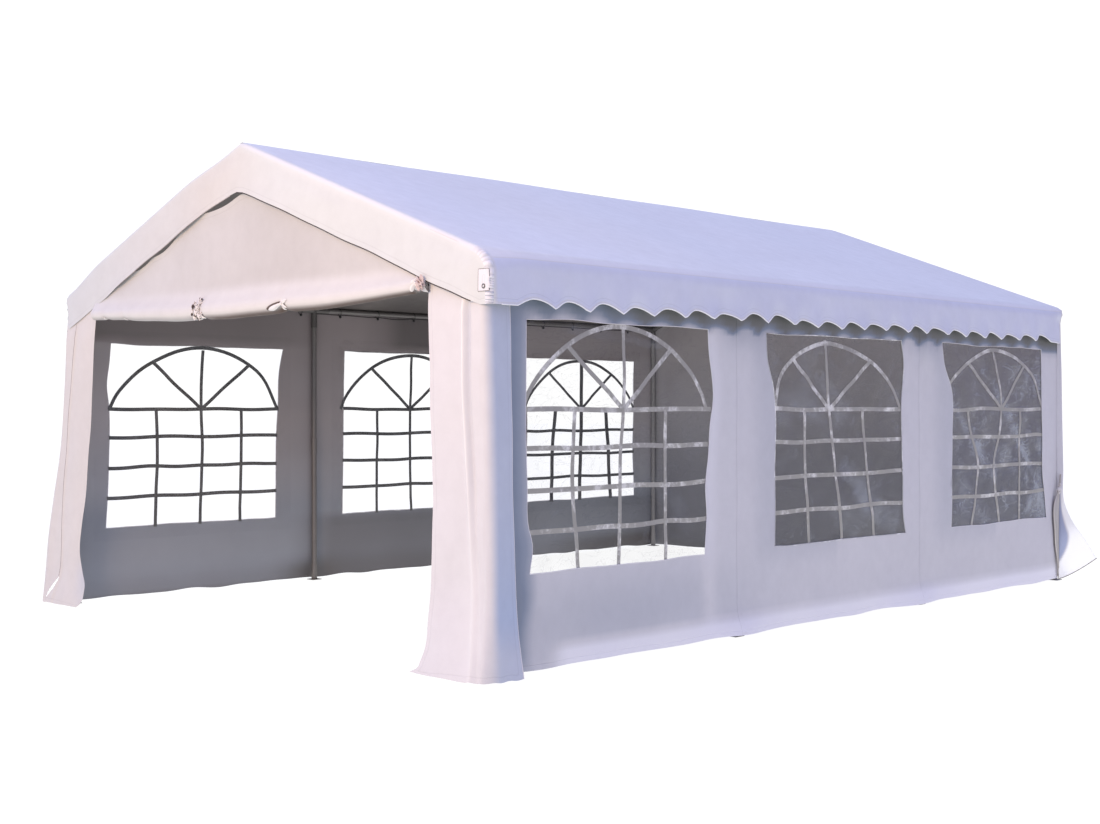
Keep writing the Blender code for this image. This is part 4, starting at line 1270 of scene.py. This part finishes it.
def wall_painted_shading(along, height):
    """Return the right wall's painted shading.

    It has painted shade beside the front flap, under the valance's scallops, under the eave by the middle
    posts and where it is drawn in before the second and third windows, and a darker low patch towards the
    front. It has painted light just past the first window, and it is lighter along its hem.
    """
    beside_flap = ease((-along - 2.60) / 0.16)
    sheltered = ease((height - valance_edge(along) + 0.10) / 0.07) * (1 + ease((along + 2.2) / 0.5))
    low_darker_patch = 0.36 * np.exp(-((along + 1.9) / 1.1) ** 2 - ((height - 0.24) / 0.22) ** 2)
    under_eave = 0.45 * sum(
        np.exp(-((along - post - 0.04) / 0.20) ** 2 - ((height - 1.76) / 0.12) ** 2)
        for post in middle_posts)
    less_shade_at_foot = 0.3 * ease((0.09 - height) / 0.09) * ease((-along - 2.2) / 0.3)
    drawn_in = 0.22 * ease((height - 0.3) / 0.25) * sum(
        ease((along - middle + window_half + 0.20) / 0.14) * (along < middle)
        for middle in window_centres[1:])
    past_first = 0.25 * np.exp(-((along - window_centres[0] - window_half - 0.03) / 0.06) ** 2)
    hem = ease((0.145 - height) / 0.08) * (0.80 + 0.12 * ease(along / 2.0))
    hem = hem * (1 - ease((-along - 2.35) / 0.2))
    dull = np.maximum(beside_flap * (1 - less_shade_at_foot), sheltered) + low_darker_patch + under_eave + drawn_in - past_first
    return np.clip(dull * (1 - hem) - hem, -1.0, 2.0)


# Painted shade on the left wall's inner face, along its top and its foot: place along the wall and share
left_top_shade = (
    (-2.95, 0.50), (-1.5, 0.46), (-1.25, 0.30), (-1.0, 0.18), (-0.85, 0.0), (-0.5, 0.0), (-0.3, 0.25),
    (-0.1, 0.75), (0.25, 0.75), (0.8, 0.2), (1.3, -0.12), (2.95, -0.12))
left_foot_shade = (
    (-2.95, 0.0), (-1.2, 0.0), (-1.0, 0.2), (-0.8, 0.52), (-0.3, 0.5), (0.8, 0.5), (1.5, 0.15), (2.2, 0.15),
    (2.95, 0.4))


def left_wall_painted_shading(along, height):
    """Return the painted shading on the left wall's inner face: painted light at its front and rear ends, and
    painted shade at its top, at its foot and beside the first middle post.
    """
    light_and_shade = -0.16 * ease((-along - 2.3) / 0.4) * ease((height - 0.5) / 0.3)
    top = ease((height - 1.73) / 0.07)
    foot = ease((0.53 - height) / 0.1)
    by_post = hump(along, -1.05, 0.25)
    corner = 0.5 * ease((0.22 - height) / 0.15) * (0.35 + ease((along - 1.4) / 0.8) + by_post)
    shadow = 0.15 * by_post * ease((height - 0.8) / 0.2) * ease((1.5 - height) / 0.2)
    light_and_shade = light_and_shade + shadow - 0.2 * ease((along - 2.5) / 0.12) * ease((height - 0.5) / 0.2)
    at_top, at_foot = (np.interp(along, *zip(*shade)) for shade in (left_top_shade, left_foot_shade))
    return light_and_shade * (1 - top) + at_top * top + (at_foot + corner) * foot


def in_window(along, height):
    """Return whether a place on a side wall lies in one of the windows' openings."""
    beside = min(abs(along - middle) for middle in window_centres)
    return beside < window_half and window_sill < height < window_head


wall_breaks = [frame_places[0]]
for middle in window_centres:
    wall_breaks.extend([middle - window_half, middle + window_half])
wall_breaks.append(frame_places[3])
wall_stations = spread_between(np.array(wall_breaks), 0.035)
wall_courses = spread_between(np.array([wall_low, 0.15, window_sill, window_head, wall_top]), 0.035)


# Windows: clear film welded behind each opening, with a lattice of thin white strips welded on its outside.
# Four crossbars, three uprights, an arch and three rays make each lattice.
film_lap = 0.09
film_thickness = 0.0006
film_behind = 0.006
bar_width = 0.0255
heavy_bar = 0.043  # the uprights of the far left window
bar_heights = (1.29, 1.097, 0.89, 0.686)
upright_orders = (4, 5, 6)  # the uprights come after the four crossbars
upright_offset = 0.355
arch_rise = 0.43
ray_reach = 0.405
spring = bar_heights[0]
# Painted shade: the white strips are grey on their outer faces and near black on their backs, with patches of
# painted highlight in the glint colour
bar_outer_shaded = (0.34, 0.33, 0.30)
bar_glint = (0.76, 0.75, 0.72)
bar_back_shaded = (0.10, 0.10, 0.105)
film_white = (0.46, 0.50, 0.55)
film_low_grey = (0.115, 0.12, 0.145)  # what the film's reflections look like low down and high up
film_high_grey = (0.155, 0.155, 0.16)
# Streaks of painted highlight along folds in the film: start, end (place along the wall and height), half
# width and strength
film_streaks = {
    ("right", 1): (((-1.75, 0.95), (-1.35, 0.62), 0.10, 0.08), ((-2.45, 1.70), (-1.5, 1.62), 0.04, 0.07)),
    ("right", 2): (
        ((-0.56, 1.50), (0.46, 0.62), 0.12, 0.07), ((0.02, 0.98), (0.40, 0.66), 0.08, 0.06),
        ((0.40, 0.68), (0.72, 0.52), 0.12, 0.09), ((-0.45, 1.58), (0.1, 1.25), 0.16, 0.04)),
    ("right", 3): (
        ((1.74, 1.66), (2.50, 0.88), 0.075, 0.16), ((2.28, 1.06), (2.52, 0.86), 0.04, 0.13),
        ((1.40, 1.31), (2.18, 0.61), 0.06, 0.11), ((2.2, 0.72), (2.6, 0.55), 0.10, 0.08),
        ((2.60, 1.9), (2.62, 0.3), 0.30, 0.10), ((2.62, 1.1), (2.64, 0.4), 0.14, 0.08)),
}
film_haze = {("right", 1): 0.05, ("right", 2): 0.18, ("right", 3): 0.36}
# Uprights that lean or bow: for each window, three curves of place against height
lattice_posts = {
    ("right", 1): (
        ((0.474, -2.294), (0.678, -2.321), (0.912, -2.343), (1.283, -2.326)),
        ((0.49, -1.998), (0.675, -1.993), (1.059, -1.986), (1.315, -1.962), (1.7, -1.958)),
        ((0.488, -1.617), (0.886, -1.622), (1.283, -1.622))),
    ("right", 2): (
        ((0.49, -0.289), (0.90, -0.334), (1.27, -0.347)),
        ((0.494, 0.057), (0.892, -0.018), (1.113, -0.060), (1.301, -0.087), (1.69, -0.129)),
        ((0.479, 0.425), (0.881, 0.337), (1.269, 0.278))),
    ("right", 3): (
        ((0.48, 1.640), (0.722, 1.696), (0.914, 1.728), (1.14, 1.632), (1.276, 1.585)),
        ((0.48, 2.04), (0.712, 1.973), (0.876, 1.940), (1.104, 2.022), (1.30, 2.055), (1.71, 1.938)),
        ((0.48, 2.335), (0.9, 2.325), (1.275, 2.328))),
    ("left", 3): (
        ((0.48, 1.60), (1.0, 1.625), (1.30, 1.66)), ((0.48, 1.965), (1.30, 1.995), (1.72, 1.99)),
        ((0.48, 2.37), (0.9, 2.345), (1.30, 2.31))),
    ("left", 1): (
        ((0.48, -2.315), (1.105, -2.298), (1.292, -2.305)),
        ((0.48, -1.955), (1.10, -1.935), (1.301, -1.945), (1.727, -1.930)),
        ((0.48, -1.625), (1.096, -1.608), (1.295, -1.608))),
}
# Arches that are out of shape, as pairs of place and height, and the two places where their outer rays end
lattice_arches = {
    ("right", 2): (((
        -0.64, 1.29), (-0.587, 1.474), (-0.472, 1.582), (-0.303, 1.655), (-0.115, 1.692), (0.107, 1.667),
        (0.365, 1.593), (0.544, 1.491), (0.65, 1.401), (0.735, 1.29)), (-0.46, 0.365)),
    ("right", 3): (((
        1.30, 1.36), (1.368, 1.481), (1.584, 1.603), (1.759, 1.671), (1.938, 1.708), (2.173, 1.682),
        (2.398, 1.603), (2.539, 1.521), (2.648, 1.36), (2.69, 1.29)), (1.60, 2.39)),
    ("left", 1): (((
        -2.665, 1.29), (-2.60, 1.40), (-2.47, 1.53), (-2.333, 1.617), (-2.13, 1.70), (-1.93, 1.727),
        (-1.73, 1.695), (-1.54, 1.613), (-1.41, 1.50), (-1.298, 1.29)), (-2.333, -1.54)),
}


def film_finish(name, seed, haze, folds):
    """Return clear film: glossy, faintly grey as painted reflection, with fine creases that show as pale
    lines of painted highlight, and broad streaks of painted highlight along its folds.
    """
    finish, tree, shader = new_finish(name)
    place = place_in(tree)
    turned = add_node(tree, "ShaderNodeMapping", {
        "Vector": place, "Location": (0.0, seed * 3.1, seed * 1.7), "Rotation": (0.7, 0.0, 0.0),
        "Scale": (1.0, 1.0, 2.6)})
    creases = noise(tree, turned.outputs["Vector"], 3.2, Detail=8.0, Roughness=0.62, Distortion=1.6)
    swells = noise(tree, place, 2.6, Detail=4.0, Distortion=0.8)
    lines = calc(tree, "SUBTRACT", creases, 0.5)
    strongest = 0.055 + 0.4 * haze if haze > 0.03 else 0.0
    crease = remap(tree, calc(tree, "ABSOLUTE", lines), (0.0, 0.013), (strongest, 0.0))
    cloud = remap(tree, swells, (0.35, 0.65), (0.6 * haze, 1.25 * haze))
    solid = calc(tree, "ADD", crease, cloud)
    for start, end, half, strength in folds:
        start, end = np.array(start), np.array(end)
        length = float(np.linalg.norm(end - start))
        way = (end - start) / length
        from_start = add_node(tree, "ShaderNodeVectorMath", {
            0: place, 1: (0.0, *start)}, operation="SUBTRACT").outputs["Vector"]
        aside = dot(tree, from_start, (0.0, -way[1], way[0]))
        forward = dot(tree, from_start, (0.0, *way))
        bent = calc(tree, "ABSOLUTE", calc(tree, "MULTIPLY_ADD", lines, 1.5 * half, aside))
        band = remap(tree, bent, (0.25 * half, half), (strength, 0.0), interpolation_type="SMOOTHSTEP")
        from_middle = calc(tree, "ABSOLUTE", calc(tree, "SUBTRACT", forward, 0.5 * length))
        ends = remap(
            tree, from_middle, (0.35 * length, 0.52 * length), (1.0, 0.0), interpolation_type="SMOOTHSTEP")
        mottled = calc(tree, "MULTIPLY", calc(tree, "MULTIPLY", band, ends), cloud)
        solid = calc(tree, "ADD", solid, calc(tree, "MULTIPLY", mottled, 0.9 / max(haze, 0.05)))
    tone = remap(tree, solid, (haze, haze + 0.2), (0.0, 0.85))
    pale = 1 + 2.6 * max(haze - 0.12, 0.0)
    height = add_node(tree, "ShaderNodeSeparateXYZ", {"Vector": place}).outputs["Z"]
    up = remap(tree, calc(tree, "MULTIPLY_ADD", swells, 1.6, height), (1.6, 2.5))
    base = mix(tree, up, [part * pale for part in film_low_grey], [part * pale for part in film_high_grey])
    feed(tree, shader, {
        "Alpha": solid, "Base Color": mix(tree, tone, base, film_white),
        "Roughness": remap(tree, creases, to=(0.06, 0.22)), "IOR": 1.45,
        "Normal": bump(tree, creases, 0.6, 0.012)})
    return finish


def bar_finish(name, colour, glint):
    """Return the lattice strips' finish: thin glossy plastic with patchy stretches of painted highlight."""
    finish, tree, shader = new_finish(name)
    patch = noise(tree, place_in(tree), 5.5, Detail=8.0, Roughness=0.8)
    feed(tree, shader, {
        "Base Color": mix(tree, remap(tree, patch, (0.50, 0.62)), colour, glint),
        "Roughness": remap(tree, patch, to=(0.2, 0.5)), "Normal": bump(tree, patch, 0.4, 0.002)})
    return finish


def film_place(side, behind):
    """Return the function that places what lies a little behind a side wall's outer face."""
    def place(along, height):
        nearest = np.min([np.abs(along - middle) for middle in window_centres], axis=0)
        slack = ease((window_half - nearest) / 0.15) * ease((height - window_sill) / 0.12)
        slack = slack * ease((window_head - height) / 0.12)
        ripple = 0.0035 * slack * (1 + billow(along, height, 0.28, 101 if side > 0 else 105))
        return side * (side_face + wall_bulge(side, along, height) - behind + ripple), along, height
    return place


def lattice_lines(side_name, number, seed):
    """Return each strip's line as pairs of y and z, from one end to the other."""
    middle = window_centres[number - 1]
    steps = np.linspace(-1.0, 1.0, 41)
    rise = np.linspace(0.0, 1.0, 25)
    regular = [
        ((0.47, middle + offset), (1.0, middle + offset + 0.01 * side_sway), (1.75, middle + offset))
        for offset, side_sway in ((-upright_offset, 1), (0.0, -1), (upright_offset, 1))]
    posts = lattice_posts.get((side_name, number), regular)
    left_edge, right_edge = window_edges[(side_name, number)]
    lines = []
    for order, level in enumerate(bar_heights):
        low, high = through(left_edge, level) - 0.005, through(right_edge, level) + 0.005
        droop = 0.005 * wander(steps, 0.9, seed + order)
        lines.append(((low + high) / 2 + steps * (high - low) / 2, level + droop))
    arch_top = spring + arch_rise
    if (side_name, number) in lattice_arches:
        points, ray_places = lattice_arches[(side_name, number)]
        share = np.linspace(0.0, 1.0, len(points))
        arch_y, arch_z = (through(tuple(zip(share, values)), (steps + 1) / 2) for values in zip(*points))
    else:
        bow = 0.010 * wander(steps, 0.8, seed + 30) * (1 - steps ** 2)
        arch_y, arch_z = middle + steps * window_half + bow, spring + arch_rise * (1 - steps ** 2) ** 0.75
        ray_places = (middle - ray_reach, middle + ray_reach)
    for order, points in enumerate(posts):
        upper = spring if order != 1 else arch_top - 0.01
        heights = window_sill - 0.012 + (upper - window_sill + 0.012) * rise
        lines.append((through(points, heights), heights))
    lines.append((arch_y, arch_z))
    hub = through(posts[1], spring)
    for place in ray_places:
        top = np.interp(place, arch_y, arch_z)
        lean = 0.008 * wander(rise, 0.7, seed + 20) * np.sin(np.pi * rise)
        lines.append((hub + (place - hub) * rise + lean, spring + (top - spring) * rise))
    return lines


def strip_along(line, side, lift):
    """Return the function that lays a narrow strip along a line on the film."""
    ys, zs = line
    step_y = np.gradient(ys)
    step_z = np.gradient(zs)
    size = np.hypot(step_y, step_z)

    def place(offset, course):
        index = course.astype(int)
        y = ys[index] - offset * step_z[index] / size[index]
        z = zs[index] + offset * step_y[index] / size[index]
        return film_place(side, film_behind - lift)(y, z)
    return place


wall_white = tuple(0.96 * part for part in cloth_white)
# The walls' painted shade is a blue-grey tint, and their painted highlight a cool white
wall_cloth = cloth_finish("wall_tarpaulin", wall_white, dull=(0.38, 0.455, 0.555), highlight_colour=(0.90, 0.89, 0.94))
left_wall_cloth = cloth_finish("left_wall_tarpaulin", wall_white, dull=(1.0, 1.0, 1.0))
left_lining = lining_finish("left_lining", shaded=True)
bar_cloth = bar_finish("window_bar_white", bar_outer_shaded, bar_glint)
# The second window's welt sparkles with patches of painted highlight
bright_welt = bar_finish("window_welt", (0.50, 0.50, 0.52), (0.97, 0.97, 0.97))
bar_back = bar_finish("window_bar_back", bar_back_shaded, (0.14, 0.14, 0.145))
for side_name, side in sides:
    place = wall_place(side_name)
    finishes, painted_shading = ([wall_cloth, lining], wall_painted_shading) if side > 0 else (
        [left_wall_cloth, left_lining], left_wall_painted_shading)
    wall = lay_sheet(
        f"{side_name}_side_wall_sheet", wall_stations, wall_courses, place, (side, 0, 0), finishes,
        [f"{side_name}_side_wall"], cut=in_window, painted_shading=painted_shading)
    for number, post in enumerate(middle_posts, start=1):
        def tape_place(offset, height, post=post):
            return place(post + offset, height, proud=0.0012)

        # The seam tapes carry the same painted shading as the wall under them
        def tape_painted_shading(offset, height, post=post):
            return wall_painted_shading(post + offset, height)

        lay_sheet(
            f"{side_name}_wall_seam_tape_{number}", np.linspace(-0.02, 0.02, 3), np.linspace(0.02, 1.98, 57),
            tape_place, (side, 0, 0), [wall_cloth], thickness=0.0008, painted_shading=tape_painted_shading if side > 0 else None)
    for number, middle in enumerate(window_centres, start=1):
        edge_y = middle + window_half * np.concatenate([
            np.linspace(-1, 1, 42), np.ones(36), np.linspace(1, -1, 42), -np.ones(36)])
        edge_z = np.concatenate([
            np.full(42, window_sill), np.linspace(window_sill, window_head, 36), np.full(42, window_head),
            np.linspace(window_head, window_sill, 36)])
        line = line_on(place, edge_y, edge_z, proud=-0.0004)
        radius, finish = (0.0034, bright_welt) if number == 2 else (0.0024, trim)
        lay_piping(
            f"{side_name}_window_{number}_welt", np.vstack([line, line[:1]]), radius, finish)
    for number, middle in enumerate(window_centres, start=1):
        reach = window_half + film_lap
        clear_film = film_finish(
            f"{side_name}_film_{number}", number + (0 if side < 0 else 5),
            film_haze.get((side_name, number), 0.012), film_streaks.get((side_name, number), ()))
        film = lay_sheet(
            f"{side_name}_window_{number}_film", np.linspace(middle - reach, middle + reach, 50),
            np.linspace(window_sill - film_lap, window_head + film_lap, 44),
            film_place(side, film_behind), (side, 0, 0), [clear_film],
            [f"{side_name}_window_{number}_pane"], "clear_film", thickness=film_thickness)
        bars = []
        seed = 200 + 31 * number + (7 if side > 0 else 0)
        for order, line in enumerate(lattice_lines(side_name, number, seed)):
            heavy = (side_name, number) == ("left", 3) and order in upright_orders
            bars.append(lay_sheet(
                "bar", np.array([-0.5, 0.0, 0.5]) * (heavy_bar if heavy else bar_width),
                np.arange(len(line[0])), strip_along(line, side, 0.0010 + 0.00025 * order), (side, 0, 0),
                [bar_cloth, bar_back], slot_name=None, thickness=0.0007))
        join(bars)
        lattice = bars[0]
        lattice.name = f"{side_name}_window_{number}_lattice"
        dress(lattice)


# Corner tabs: a doubled patch of tarpaulin sewn over each lower corner of the cover, with a metal eyelet for
# a guy line. It is laid on the cover's own surface.
tab_low = 1.85
tab_high = 1.955
tab_width = 0.042  # from its edge on the gable band to the fold round the corner
tab_turn = math.radians(72)  # how far it reaches round the fold
left_tab_start = math.radians(60)
left_tab_turn = math.radians(88)
tab_lift = 0.0022
tab_fold_y = 2.955
outside_y = 3.12  # clear of the gable bands, where the lines that look for the cover start
eyelet_height = 1.873
eyelet_steel = steel_finish("eyelet_metal", ((0.10, 0.10, 0.10), (0.24, 0.24, 0.23)), 0.3)
bpy.context.view_layer.update()
gather_runs = np.linspace(slope_length - 0.02, section_length - 0.002, 150)
gather_rows = roof_end + np.linspace(0.002, fold_length - 0.002, 13)


def gather_place(along, run):
    """Return a point of the tightly gathered seam down the cover's front right corner."""
    step = 0.002
    here = np.stack(cover_place(run, -along), axis=-1)
    down = np.stack(cover_place(run + step, -along), axis=-1) - here
    out = np.stack(cover_place(run, -along - step), axis=-1) - here
    lift = np.cross(down, out)
    lift = lift / np.linalg.norm(lift, axis=-1)[..., None]
    lift = lift * np.where(lift[..., 0] - lift[..., 1] < 0, -1.0, 1.0)[..., None]
    middle = np.sin(np.pi * np.clip((along - gather_rows[0]) / (gather_rows[-1] - gather_rows[0]), 0, 1))
    lean = 28.0 * (along - roof_end)
    puckers = np.sin(2 * np.pi * run / 0.019 + lean + 2.6 * wander(run, 0.11, 41))
    puckers = 0.5 + 0.5 * puckers * (0.7 + 0.3 * wander(run + 0.3 * along, 0.05, 42))
    begun = ease((run - gather_runs[0]) / 0.05)
    here = here + lift * (0.0006 + middle * begun * (0.0012 + 0.0056 * puckers))[..., None]
    return here[..., 0], here[..., 1], here[..., 2]


def gather_painted_shading(along, run):
    """Return the gathered seam's painted shading: a painted highlight on its ridges, with dark marks near its
    foot.
    """
    low = ease((run - section_length + 0.13) / 0.08)
    lean = 28.0 * (along - roof_end)
    puckers = 0.5 + 0.5 * np.sin(2 * np.pi * run / 0.019 + lean + 2.6 * wander(run, 0.11, 41))
    spots = 2 * np.pi * run / 0.017 + 40.0 * (along - roof_end) + 3.0 * wander(run, 0.06, 43)
    marks = 0.5 + 0.5 * np.sin(spots)
    begun = ease((run - gather_runs[0] - 0.02) / 0.06)
    return begun * (0.30 - 1.15 * puckers ** 0.5 + 1.0 * low * marks ** 5) - 0.3 * (1 - begun)


gather = lay_sheet(
    "right_front_corner_gather", gather_rows, gather_runs, gather_place, (1, -1, 0),
    [cloth_finish("gathered_tarpaulin", cloth_white)], thickness=0.0008, painted_shading=gather_painted_shading)
bpy.context.view_layer.update()


def onto_cover(start, way, lift):
    """Return where a line meets the cover or its gathered corner, lifted a little back along the line."""
    hits = [piece.ray_cast(start, way) for piece in (roof, gather)]
    places = [np.array(place) for hit, place, _, _ in hits if hit]
    if not places:
        return np.array(start) + 0.1 * np.array(way)
    nearest = min(places, key=lambda place: np.linalg.norm(place - np.array(start)))
    return nearest - lift * np.array(way)


def tab_fold(side, end):
    """Return where the fold round a corner begins, from the middle of the tent."""
    return 2.06 if side > 0 and end < 0 else 2.022


def tab_point(share, height, side, end, lift):
    """Return a point of a corner tab, by its share of the way from the band round the corner's fold.

    The left tabs lie further round, on the side.
    """
    fold_x = tab_fold(side, end)
    if share < 0.5 and side > 0:
        x = fold_x - tab_width * (1 - 2 * share)
        start, way = (side * x, end * outside_y, height), (0.0, -end, 0.0)
    else:
        angle = tab_turn * (2 * share - 1) if side > 0 else left_tab_start + left_tab_turn * share
        out = np.array([side * math.sin(angle), end * math.cos(angle), 0.0])
        start = np.array([side * fold_x, end * tab_fold_y, height]) + 0.15 * out
        way = -out
    return onto_cover(tuple(start), tuple(way), lift)


tab_edge = (
    [(0.0, height) for height in np.linspace(tab_low, tab_high, 10)]
    + [(share, tab_high) for share in np.linspace(0.0, 1.0, 18)[1:]]
    + [(1.0, height) for height in np.linspace(tab_high, tab_low, 10)[1:]]
    + [(share, tab_low) for share in np.linspace(1.0, 0.0, 18)[1:]])
for side_name, side in sides:
    for end_name, end in tent_ends:
        def tab_place(share, height, side=side, end=end):
            spots = np.array([
                tab_point(s, h, side, end, tab_lift) for s, h in zip(share.ravel(), height.ravel())])
            return np.moveaxis(spots.reshape(share.shape + (3,)), -1, 0)

        tab = lay_sheet(
            f"{side_name}_{end_name}_corner_tab", np.linspace(0.0, 1.0, 19),
            np.linspace(tab_low, tab_high, 11), tab_place, (0, end, 0), [trim], thickness=0.0016)
        # A thin dark line round each tab stands for the shadow at its edges: painted shadow
        line = np.array([tab_point(share, height, side, end, 0.5 * tab_lift) for share, height in tab_edge])
        tab_shadow_rim = lay_piping(f"{side_name}_{end_name}_tab_shadow_rim", line, 0.0015, dark_shadow_line)
        if side > 0:
            start, way = (tab_fold(side, end) - 0.006, end * outside_y, eyelet_height), (0.0, -end, 0.0)
            turn, flattened, tab_reach = (math.pi / 2, 0, 0), (1.0, 0.45, 1.0), tab_width + 0.038
        else:
            start, way = (-2.4, end * 2.935, eyelet_height), (1.0, 0.0, 0.0)
            turn, flattened, tab_reach = (0, math.pi / 2, 0), (0.45, 1.0, 1.0), 0.065
        hole = onto_cover(start, way, tab_lift + 0.001)
        bpy.ops.mesh.primitive_torus_add(
            location=hole, rotation=turn, major_radius=0.0090, minor_radius=0.0032,
            major_segments=32, minor_segments=10)
        bpy.ops.object.transform_apply()
        end_piece(f"{side_name}_{end_name}_eyelet", eyelet_steel, 40)
        bpy.ops.mesh.primitive_uv_sphere_add(
            segments=20, ring_count=10, radius=0.0064, location=hole, scale=flattened)
        bpy.ops.object.transform_apply()
        end_piece(f"{side_name}_{end_name}_eyelet_hole", trim, 40)


# Ball bungees: a dark ball on a loop of elastic cord holds the cover to the eave tubes about every 37 cm,
# just inside the eaves. A slack cord runs along under the tubes of each side from ball to ball.
bungee_step = 0.368
bungee_ball = 0.0105
bungee_cord = 0.0021
bungee_loop = 0.0245
slack_cord = 0.0036
slack_start = -0.95  # where the slack cords begin and end along the tent
slack_end = 2.85
first_bow_end = -0.375
bungee_black = cloth_finish("bungee_black", (0.022, 0.021, 0.023), roughness=0.4, crease=0.2)
bungee_places = [-0.005 + bungee_step * step for step in range(-7, 8)]
for side_name, side in sides:
    loops = []
    for at in bungee_places:
        centre_x = side * (half_span - 0.002)
        bpy.ops.mesh.primitive_torus_add(
            location=(centre_x, at, eave_height - 0.007), rotation=(math.pi / 2, 0, 0.25 * math.sin(9 * at)),
            major_radius=bungee_loop, minor_radius=bungee_cord, major_segments=28, minor_segments=8)
        bpy.ops.transform.resize(value=(0.90, 1.0, 1.12))
        loops.append(bpy.context.object)
        bpy.ops.mesh.primitive_uv_sphere_add(
            segments=16, ring_count=10, radius=bungee_ball,
            location=(centre_x - side * 0.004, at + 0.003, eave_height - 0.040))
        loops.append(bpy.context.object)
    join(loops)
    bpy.ops.object.transform_apply()
    end_piece(f"{side_name}_ball_bungees", bungee_black, 40)
    cord_y = np.linspace(slack_start, slack_end, 160)
    slack = np.sin(np.pi * np.clip((cord_y - first_bow_end) / 0.37, 0.0, 1.0))
    slack = slack + 0.25 * (1 + wander(cord_y, 0.5, 121)) * (cord_y < first_bow_end)
    cord_z = eave_height - 0.024 - 0.012 * slack
    line = np.stack([np.full_like(cord_y, side * (half_span + 0.004)), cord_y, cord_z], axis=-1)
    lay_piping(f"{side_name}_slack_cord", line, slack_cord, bungee_black)
